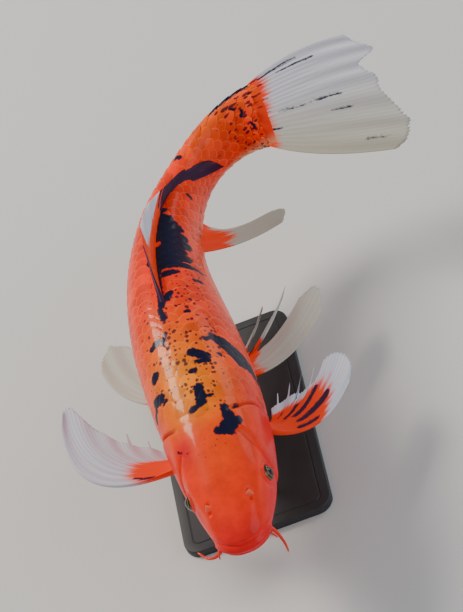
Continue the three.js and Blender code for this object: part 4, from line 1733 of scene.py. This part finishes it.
ANAL = FinShape(
    "fin_anal", rays=6, size=(50, 80), angle=180,
    stations=(0.72, 0.735, 0.75, 0.765, 0.78),
    bends=((14, 36, -26), (20, 36, -26), (16, 26, -24), (9, 17, -20), (3, 11, -17)),
    tips=((46, 80, -22), (54, 76, -22), (40, 56, -26), (20, 38, -30), (4, 24, -30)),
    paint=FinPaint(flesh=((0, 0.5), (1, 0.42)), olive=((0, 0.8), (1, 0.8)), feather=0.25))

TAIL = FinShape(
    "fin_tail", station=1.0, rays=22, size=(120, 130), root_thickness=6,
    heights=(29, 25, 18, 10, 2, -6, -14, -20, -26),
    bends=((44, -3, 46), (46, -3, 36), (46, -3, 26), (44, -3, 14), (44, -3, 4), (44, -3, -10),
           (44, -3, -24), (42, -3, -40), (36, -3, -54)),
    tips=((98, -8, 38), (109, -9, 28), (121, -10, 17), (105, -9, 9), (113, -10, -2), (118, -10, -20),
          (126, -11, -40), (131, -11, -56), (113, -10, -69)),
    paint=FinPaint(
        flesh=((0, 0.13), (0.2, 0.17), (0.45, 0.14), (0.7, 0.1), (1, 0.09)),
        black=stripes((0.05, 0.0, 0.1, 2.0), (0.17, 0.04, 0.13, 1.6), (0.27, 0.02, 0.1, 1.4),
                      (0.36, 0.06, 0.15, 1.5), (0.45, 0.02, 0.08, 1.6), (0.52, 0.07, 0.14, 1.2),
                      (0.07, 0.12, 0.5, 1.9), (0.13, 0.3, 0.62, 1.4), (0.56, 0.2, 0.72, 1.4),
                      (0.67, 0.6, 0.74, 1.2), (0.73, 0.04, 0.18, 2.2), (0.9, 0.74, 0.88, 0.9)),
        olive=((0, 0.0), (0.45, 0.1), (0.7, 0.55), (1, 0.85)), feather=0.13))

FINS = (PECTORAL_LEFT, PECTORAL_RIGHT, PELVIC_LEFT, PELVIC_RIGHT, DORSAL, ANAL, TAIL)


# ---- Barbels, nostrils and eyes -------------------------------------------------------------------


@dataclass(frozen=True)
class BarbelPath:
    """A feeler: root, bends and tip as [back, left, up] from the axis, and its radii in millimetres."""

    name: str
    station: float
    path: tuple[Triple, ...]
    root_radius: float
    tip_radius: float


BARBELS = (
    BarbelPath("barbel_long_left", 0.036, ((3, 18, -8), (0, 23, -12), (-8, 27, -19), (-16, 28, -24)),
               2.0, 0.7),
    BarbelPath("barbel_long_right", 0.036, ((3, -18, -8), (-2, -25, -14), (1, -34, -17), (9, -41, -15)),
               2.0, 0.7),
    BarbelPath("barbel_short_left", 0.022, ((3, 14, -1), (0, 19, -2), (-3, 23, -5), (-4, 25, -9)),
               1.5, 0.6),
    BarbelPath("barbel_short_right", 0.022, ((3, -14, -1), (0, -19, -2), (-3, -22, -5), (-5, -23, -9)),
               1.5, 0.6),
)


def tube(middle: Array, radius: Array, sides: int) -> Mesh:
    """Round tube along a line of points.

    Args:
        middle: Points of its axis, (count, 3).
        radius: Its radius at each.
        sides: Corners of its section.

    Returns:
        Vertices and faces, closed at both ends.
    """
    along = np.gradient(middle, axis=0)
    along /= np.linalg.norm(along, axis=1, keepdims=True)
    first = np.cross(along, (0.0, 0.0, 1.0))
    first /= np.linalg.norm(first, axis=1, keepdims=True)
    second = np.cross(along, first)
    turn = np.linspace(0, 2 * np.pi, sides, endpoint=False)[None, :, None]
    ring = first[:, None] * np.cos(turn) + second[:, None] * np.sin(turn)
    rings = middle[:, None] + ring * radius[:, None, None]
    points = np.concatenate([rings.reshape(-1, 3), middle[:1], middle[-1:]])
    count, rim = len(middle) * sides, np.arange(sides)
    faces = np.concatenate([
        grid_faces(len(middle), sides, closed=True),
        fan(count, rim, flip=True),
        fan(count + 1, count - sides + rim)])
    return points, faces


@dataclass(frozen=True)
class Barbels:
    """Four soft feelers round the mouth, each swelling where it leaves the lip."""

    steps: int = 60
    sides: int = 20
    flare: float = 1.3
    flare_share: float = 0.16  # of the length
    wrinkle: float = 0.04
    wrinkle_turn: float = 90.0  # radians over the length
    tip_share: float = 0.93  # where the tip starts to round off

    def build(self, material: bpy.types.Material) -> None:
        """Makes the feelers, each in the place of its solid.

        Args:
            material: Finish of the skin.
        """
        for barbel in BARBELS:
            knots = FORM.place(np.full(len(barbel.path), barbel.station), np.array(barbel.path, float))
            share = np.linspace(0, 1, self.steps)
            radius = barbel.root_radius + (barbel.tip_radius - barbel.root_radius) * share
            radius = radius + self.flare * bell(share, self.flare_share)
            rings = self.wrinkle * np.sin(self.wrinkle_turn * share) * smoothstep(0.1, 0.3, share)
            radius = (radius + rings) * np.sqrt(1 - smoothstep(self.tip_share, 1.0, share) * 0.98)
            points, faces = tube(curve_through(knots, share), radius, self.sides)
            outward = np.concatenate([np.repeat(share, self.sides), [0, 1]])
            weights = MARKINGS.plain(len(points), crimson=0.9 - 0.2 * outward, belly=0.2 * outward)
            piece = make_piece(f"koi_{barbel.name}", material, (metres(points), faces), weights)
            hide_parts(barbel.name)


@dataclass(frozen=True)
class NostrilFlaps:
    """A small pale flap of skin between the two openings of each nostril."""

    half_width: float = 3.5
    height: float = 2.6
    lean: float = 2.6  # how far the tip lies behind the root
    bow: float = 0.9
    sunk: float = 1.6
    thickness: float = 1.0
    tone: float = 0.8
    rows: int = 14
    columns: int = 22

    def build(self, material: bpy.types.Material) -> None:
        """Makes both flaps, each in the place of its solid.

        Args:
            material: Finish of the skin.
        """
        station, angle = (np.array(value) for value in NOSTRIL)
        out, across = np.meshgrid(
            np.linspace(0, 1, self.rows), np.linspace(-1, 1, self.columns), indexing="ij")
        width = self.half_width * np.sqrt(1 - 0.98 * out**4)
        back = self.bow * (1 - across**2) * out + self.lean * out**2
        s = station + back / FORM.standard_length
        turn = UNROLLED.angle(s, float(UNROLLED.arc(station, angle)) + across * width)
        lift = self.height * out * (1 - 0.25 * across**2) - self.sunk
        tip = np.tile(out.ravel(), 2)
        weights = MARKINGS.plain(
            len(tip), crimson=0.8 - 0.2 * tip, belly=0.12 + 0.26 * tip, tone=np.full(len(tip), self.tone))
        for side in Side:
            middle = FORM.surface(s, side.value * turn, lift)
            half = (self.thickness / 2 * (1 - 0.45 * out))[..., None] * normals_of(middle)
            points, faces = slab(middle + half, middle - half)
            flap = make_piece(f"koi_nostril_flap_{side.word}", material, (metres(points), faces), weights)
            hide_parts(f"nostril_{side.word}")


@dataclass(frozen=True)
class Eyes:
    """Two eyeballs whose clear front bulges a little over the pupil."""

    rings: int = 60
    sides: int = 72
    bulge: float = 0.07
    bulge_width: float = 0.55  # in radians round the eyeball

    def build(self, material: bpy.types.Material) -> None:
        """Makes the eyes, each in the place of its solid.

        Args:
            material: Finish of the eyes.
        """
        polar, turn = (grid[..., None] for grid in np.meshgrid(
            np.linspace(0, np.pi, self.rings),
            np.linspace(0, 2 * np.pi, self.sides, endpoint=False),
            indexing="ij"))
        radius = EYE_SEAT.radius * (1 + self.bulge * bell(polar, self.bulge_width))
        faces = grid_faces(self.rings, self.sides, closed=True, flip=True)
        outward = (polar / (np.pi / 2)).ravel()
        for side in Side:
            station, angle = np.array(EYE_SEAT.station), side.value * EYE_SEAT.angle
            centre = FORM.surface(station, angle, -EYE_SEAT.sunk)
            axis = FORM.surface(station, angle, 5.0) - FORM.surface(station, angle, 0.0)
            axis /= np.linalg.norm(axis)
            first = np.cross(axis, (0.0, 0.0, 1.0))
            first /= np.linalg.norm(first)
            second = np.cross(axis, first)
            way = axis * np.cos(polar) + (first * np.cos(turn) + second * np.sin(turn)) * np.sin(polar)
            points = metres((centre + way * radius).reshape(-1, 3))
            eye = make_piece(f"koi_eye_{side.word}", material, (points, faces), {"outward": outward})
            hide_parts(f"eye_{side.word}")


# ---- Stand ----------------------------------------------------------------------------------------


def turned(profile: Sequence[tuple[float, float]], sides: int, foot: Triple) -> Mesh:
    """Body of revolution round an upright axis, in millimetres.

    Args:
        profile: Radius and height pairs, from the bottom up, closed on themselves if hollow.
        sides: Corners of its section.
        foot: Foot of its axis.

    Returns:
        Vertices and quads.
    """
    radius, height = np.array(profile, float).T
    turn = np.linspace(0, 2 * np.pi, sides, endpoint=False)
    points = np.stack([
        radius[:, None] * np.cos(turn), radius[:, None] * np.sin(turn),
        np.repeat(height[:, None], sides, 1)], -1)
    return points.reshape(-1, 3) + np.asarray(foot), grid_faces(len(profile), sides, closed=True)


@dataclass(frozen=True)
class Stand:
    """Powder-coated steel base with two brushed steel rods, each held in a collar with a set screw."""

    base_size: Triple = (130, 230, 8)
    corner: float = 14.0
    corner_points: int = 12
    bevel: float = 1.0
    bevel_points: int = 5
    groove_inset: float = 8.0
    groove: Table = ((0, 0), (0.5, 0.6), (1.1, 0.6), (1.6, 0))  # across and down
    rod_radius: float = 4.0
    rod_stations: tuple[tuple[str, float], ...] = (("front", 0.31), ("rear", 0.6))
    rod_tip: float = 0.5
    rod_rise: float = 1.0  # how much further it runs up into the belly than its solid
    rod_sides: int = 48
    chamfer: float = 0.4
    collar_radius: float = 12.0
    collar_height: float = 10.0
    collar_bevel: float = 2.0
    collar_bevel_points: int = 6
    collar_sides: int = 64
    screw: Table = (
        (0, -1.2), (1.0, -1.2), (1.0, 0.0), (1.7, 0.0), (2.0, -0.3), (2.0, -3.0), (0, -3.0))
    screw_height: float = 4.2
    screw_sides: int = 24
    gap: float = 0.1

    @property
    def level(self) -> float:
        """Height at which the rods and collars start, a hair over the base."""
        return self.base_size[2] + self.gap

    def outline(self, inset: float) -> Array:
        """Rounded rectangle drawn in from the base's edge, as [x, y] round its centre.

        Args:
            inset: Millimetres in from the edge.

        Returns:
            Its points, in order.
        """
        wide, long = (size / 2 - self.corner for size in self.base_size[:2])
        turn = np.linspace(0, np.pi / 2, self.corner_points)
        radius = self.corner - inset
        parts = [
            np.stack([x * wide + radius * np.cos(turn + quarter * np.pi / 2),
                      y * long + radius * np.sin(turn + quarter * np.pi / 2)], -1)
            for quarter, (x, y) in enumerate(((1, 1), (-1, 1), (-1, -1), (1, -1)))]
        return np.concatenate(parts)

    def build_base(self, material: bpy.types.Material) -> None:
        """Makes the base: rounded edges, and a fine groove a little way in from them.

        Args:
            material: Powder coat.
        """
        low, high = (np.array(corner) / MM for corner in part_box("stand_base"))
        centre = (low + high) / 2
        height = self.base_size[2]
        bend = np.linspace(0, np.pi / 2, self.bevel_points)
        sink, rise = self.bevel * (1 - np.sin(bend)), self.bevel * (1 - np.cos(bend))
        lower = list(zip(sink, rise))
        upper = list(zip(sink[::-1], height - rise[::-1]))
        groove = [(self.groove_inset + across, height - down) for across, down in self.groove]
        around = 4 * self.corner_points
        profile = lower + upper + groove
        rings = [np.column_stack([self.outline(inset), np.full(around, z)]) for inset, z in profile]
        points = np.concatenate([*rings, [(0, 0, height), (0, 0, 0)]])
        count, rim = len(rings) * around, np.arange(around)
        faces = np.concatenate([
            grid_faces(len(rings), around, closed=True),
            fan(count, count - around + rim),
            fan(count + 1, rim, flip=True)])
        points = (points + (centre[0], centre[1], low[2])) * MM
        base = make_piece("stand_base_plate", material, (points, faces), crease=SHARP_EDGE)
        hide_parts("stand_base")

    def rod(self, foot: Triple, top: float) -> Mesh:
        """A rod with chamfered ends.

        Args:
            foot: Foot of its axis.
            top: Height of its top.

        Returns:
            Its mesh in millimetres.
        """
        radius, bottom, chamfer, tip = self.rod_radius, self.level, self.chamfer, self.rod_tip
        profile = (
            (0, bottom), (radius - chamfer, bottom), (radius, bottom + chamfer),
            (radius, top), (radius - tip, top + tip), (0, top + tip))
        return turned(profile, self.rod_sides, foot)

    def collar(self, foot: Triple) -> Mesh:
        """A collar with a round shoulder, and the set screw in its side.

        Args:
            foot: Foot of its axis.

        Returns:
            Its mesh in millimetres.
        """
        bore, outer, bottom = self.rod_radius + self.gap, self.collar_radius, self.level
        top = bottom + self.collar_height
        shoulder = [
            (outer - self.collar_bevel * (1 - np.cos(b)), top - self.collar_bevel * (1 - np.sin(b)))
            for b in np.linspace(0, np.pi / 2, self.collar_bevel_points)]
        profile = [
            (bore, bottom), (outer - self.chamfer, bottom), (outer, bottom + self.chamfer), *shoulder,
            (bore, top), (bore, bottom)]
        points, faces = turned(self.screw, self.screw_sides, (0, 0, 0))
        points = points[:, [2, 0, 1]] + (foot[0] + outer + self.gap, foot[1], bottom + self.screw_height)
        return join(turned(profile, self.collar_sides, foot), (points, faces))

    def build_rods(self, material: bpy.types.Material) -> None:
        """Makes the rods, which run a little way up into the belly, and their collars.

        Args:
            material: Brushed steel.
        """
        for word, station in self.rod_stations:
            axis = metres(FORM.spine(np.array(station))) / MM
            foot = (axis[0], axis[1], 0.0)
            _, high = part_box(f"stand_rod_{word}")
            rod, collar = self.rod(foot, high[2] / MM + self.rod_rise), self.collar(foot)
            for node, part, (points, faces) in (("rod", "bar", rod), ("collar", "ring", collar)):
                name = f"stand_{node}_{word}"
                piece = make_piece(f"{name}_{part}", material, (points * MM, faces), crease=SHARP_EDGE)
                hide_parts(name)


# ---- Studio ---------------------------------------------------------------------------------------


@dataclass(frozen=True)
class Lamp:
    """A square soft light: its place and size in metres, its power and its colour."""

    name: str
    place: Triple
    size: float
    watts: float
    shade: str


@dataclass(frozen=True)
class Studio:
    """Pale floor, soft lights and a long lens that looks down on the fish from ahead and above."""

    floor_size: float = 12.0
    lamps: tuple[Lamp, ...] = (
        Lamp("studio_key", (-1.6, 1.1, 2.2), 1.0, 70, "#FFF6EA"),
        Lamp("studio_fill", (1.9, -1.2, 1.5), 2.0, 22, "#EAF2FF"),
        Lamp("studio_rim", (2.4, 1.5, 1.1), 1.4, 14, "#FFFFFF"),
    )
    lit_place: Triple = (0, 0, 0.1)
    room_shade: str = "#E6E9EC"
    room_strength: float = 0.43
    elevation: float = 45.1
    azimuth: float = 12.8
    roll: float = -29.8
    distance_mm: float = 2375.0
    lens_mm: float = 168.8
    aim_right: float = 0.0169
    aim_up: float = 0.0087
    far_metres: float = 100.0

    def floor(self, material: bpy.types.Material) -> None:
        """Lays the floor just under the stand.

        Args:
            material: Floor paint.
        """
        half = self.floor_size / 2
        mesh = bpy.data.meshes.new("studio_floor")
        mesh.from_pydata([(-half, -half, 0), (half, -half, 0), (half, half, 0), (-half, half, 0)], [],
                         [(0, 1, 2, 3)])
        mesh.materials.append(material)
        floor = bpy.data.objects.new("studio_floor", mesh)
        bpy.context.scene.collection.objects.link(floor)

    def hang(self, lamp: Lamp) -> None:
        """Hangs one light so that it faces the fish.

        Args:
            lamp: The light.
        """
        data = bpy.data.lights.new(lamp.name, "AREA")
        data.size = lamp.size
        data.energy = lamp.watts
        data.color = colour(lamp.shade)[:3]
        light = bpy.data.objects.new(lamp.name, data)
        light.location = lamp.place
        toward = Vector(self.lit_place) - light.location
        light.rotation_euler = toward.to_track_quat("-Z", "Y").to_euler()
        bpy.context.scene.collection.objects.link(light)

    def lights(self) -> None:
        """Hangs a broad key light above, a cooler fill and a low rim light, in a bright grey room."""
        for lamp in self.lamps:
            self.hang(lamp)
        world = bpy.data.worlds.new("studio_room")
        world.use_nodes = True
        background = world.node_tree.nodes["Background"]
        background.inputs["Color"].default_value = colour(self.room_shade)
        background.inputs["Strength"].default_value = self.room_strength
        bpy.context.scene.world = world

    def camera(self) -> None:
        """Sets up the camera on the middle of the fish, turned a little off it and rolled."""
        rise, turn, roll = (np.radians(angle) for angle in (self.elevation, self.azimuth, self.roll))
        toward = np.array([np.sin(turn) * np.cos(rise), -np.cos(turn) * np.cos(rise), np.sin(rise)])
        level = np.array([np.cos(turn), np.sin(turn), 0.0])
        over = np.cross(toward, level)
        right = level * np.cos(roll) + over * np.sin(roll)
        above = over * np.cos(roll) - level * np.sin(roll)
        place = metres(FORM.spine(np.array(0.5)) + toward * self.distance_mm)
        back = toward - right * self.aim_right - above * self.aim_up
        back /= np.linalg.norm(back)
        side = np.cross(above, back)
        side /= np.linalg.norm(side)
        top = np.cross(back, side)
        lens = bpy.data.cameras.new("studio_camera")
        lens.lens = self.lens_mm
        lens.clip_end = self.far_metres
        camera = bpy.data.objects.new("studio_camera", lens)
        axes = Matrix((side, top, back)).transposed().to_4x4()
        camera.matrix_world = Matrix.Translation(Vector(place)) @ axes
        bpy.context.scene.collection.objects.link(camera)
        bpy.context.scene.camera = camera


# ---- Whole model ----------------------------------------------------------------------------------


def main() -> None:
    """Builds the koi, its stand and the studio."""
    logging.basicConfig(level=logging.INFO, format="%(message)s")
    skin = WetSkinFinish().build()
    scales = WetSkinFinish(name="koi_wet_scales", scaled=True).build()
    fins = FinFinish().build()
    Skin().build(skin)
    ScaleCoat().build(scales)
    for shape in FINS:
        FinMaker().build(shape, fins)
    Barbels().build(skin)
    NostrilFlaps().build(skin)
    Eyes().build(EyeFinish().build())
    stand = Stand()
    stand.build_base(PowderCoatFinish().build())
    stand.build_rods(SteelFinish().build())
    studio = Studio()
    studio.floor(FloorFinish().build())
    studio.lights()
    studio.camera()


if __name__ == "__main__":
    main()
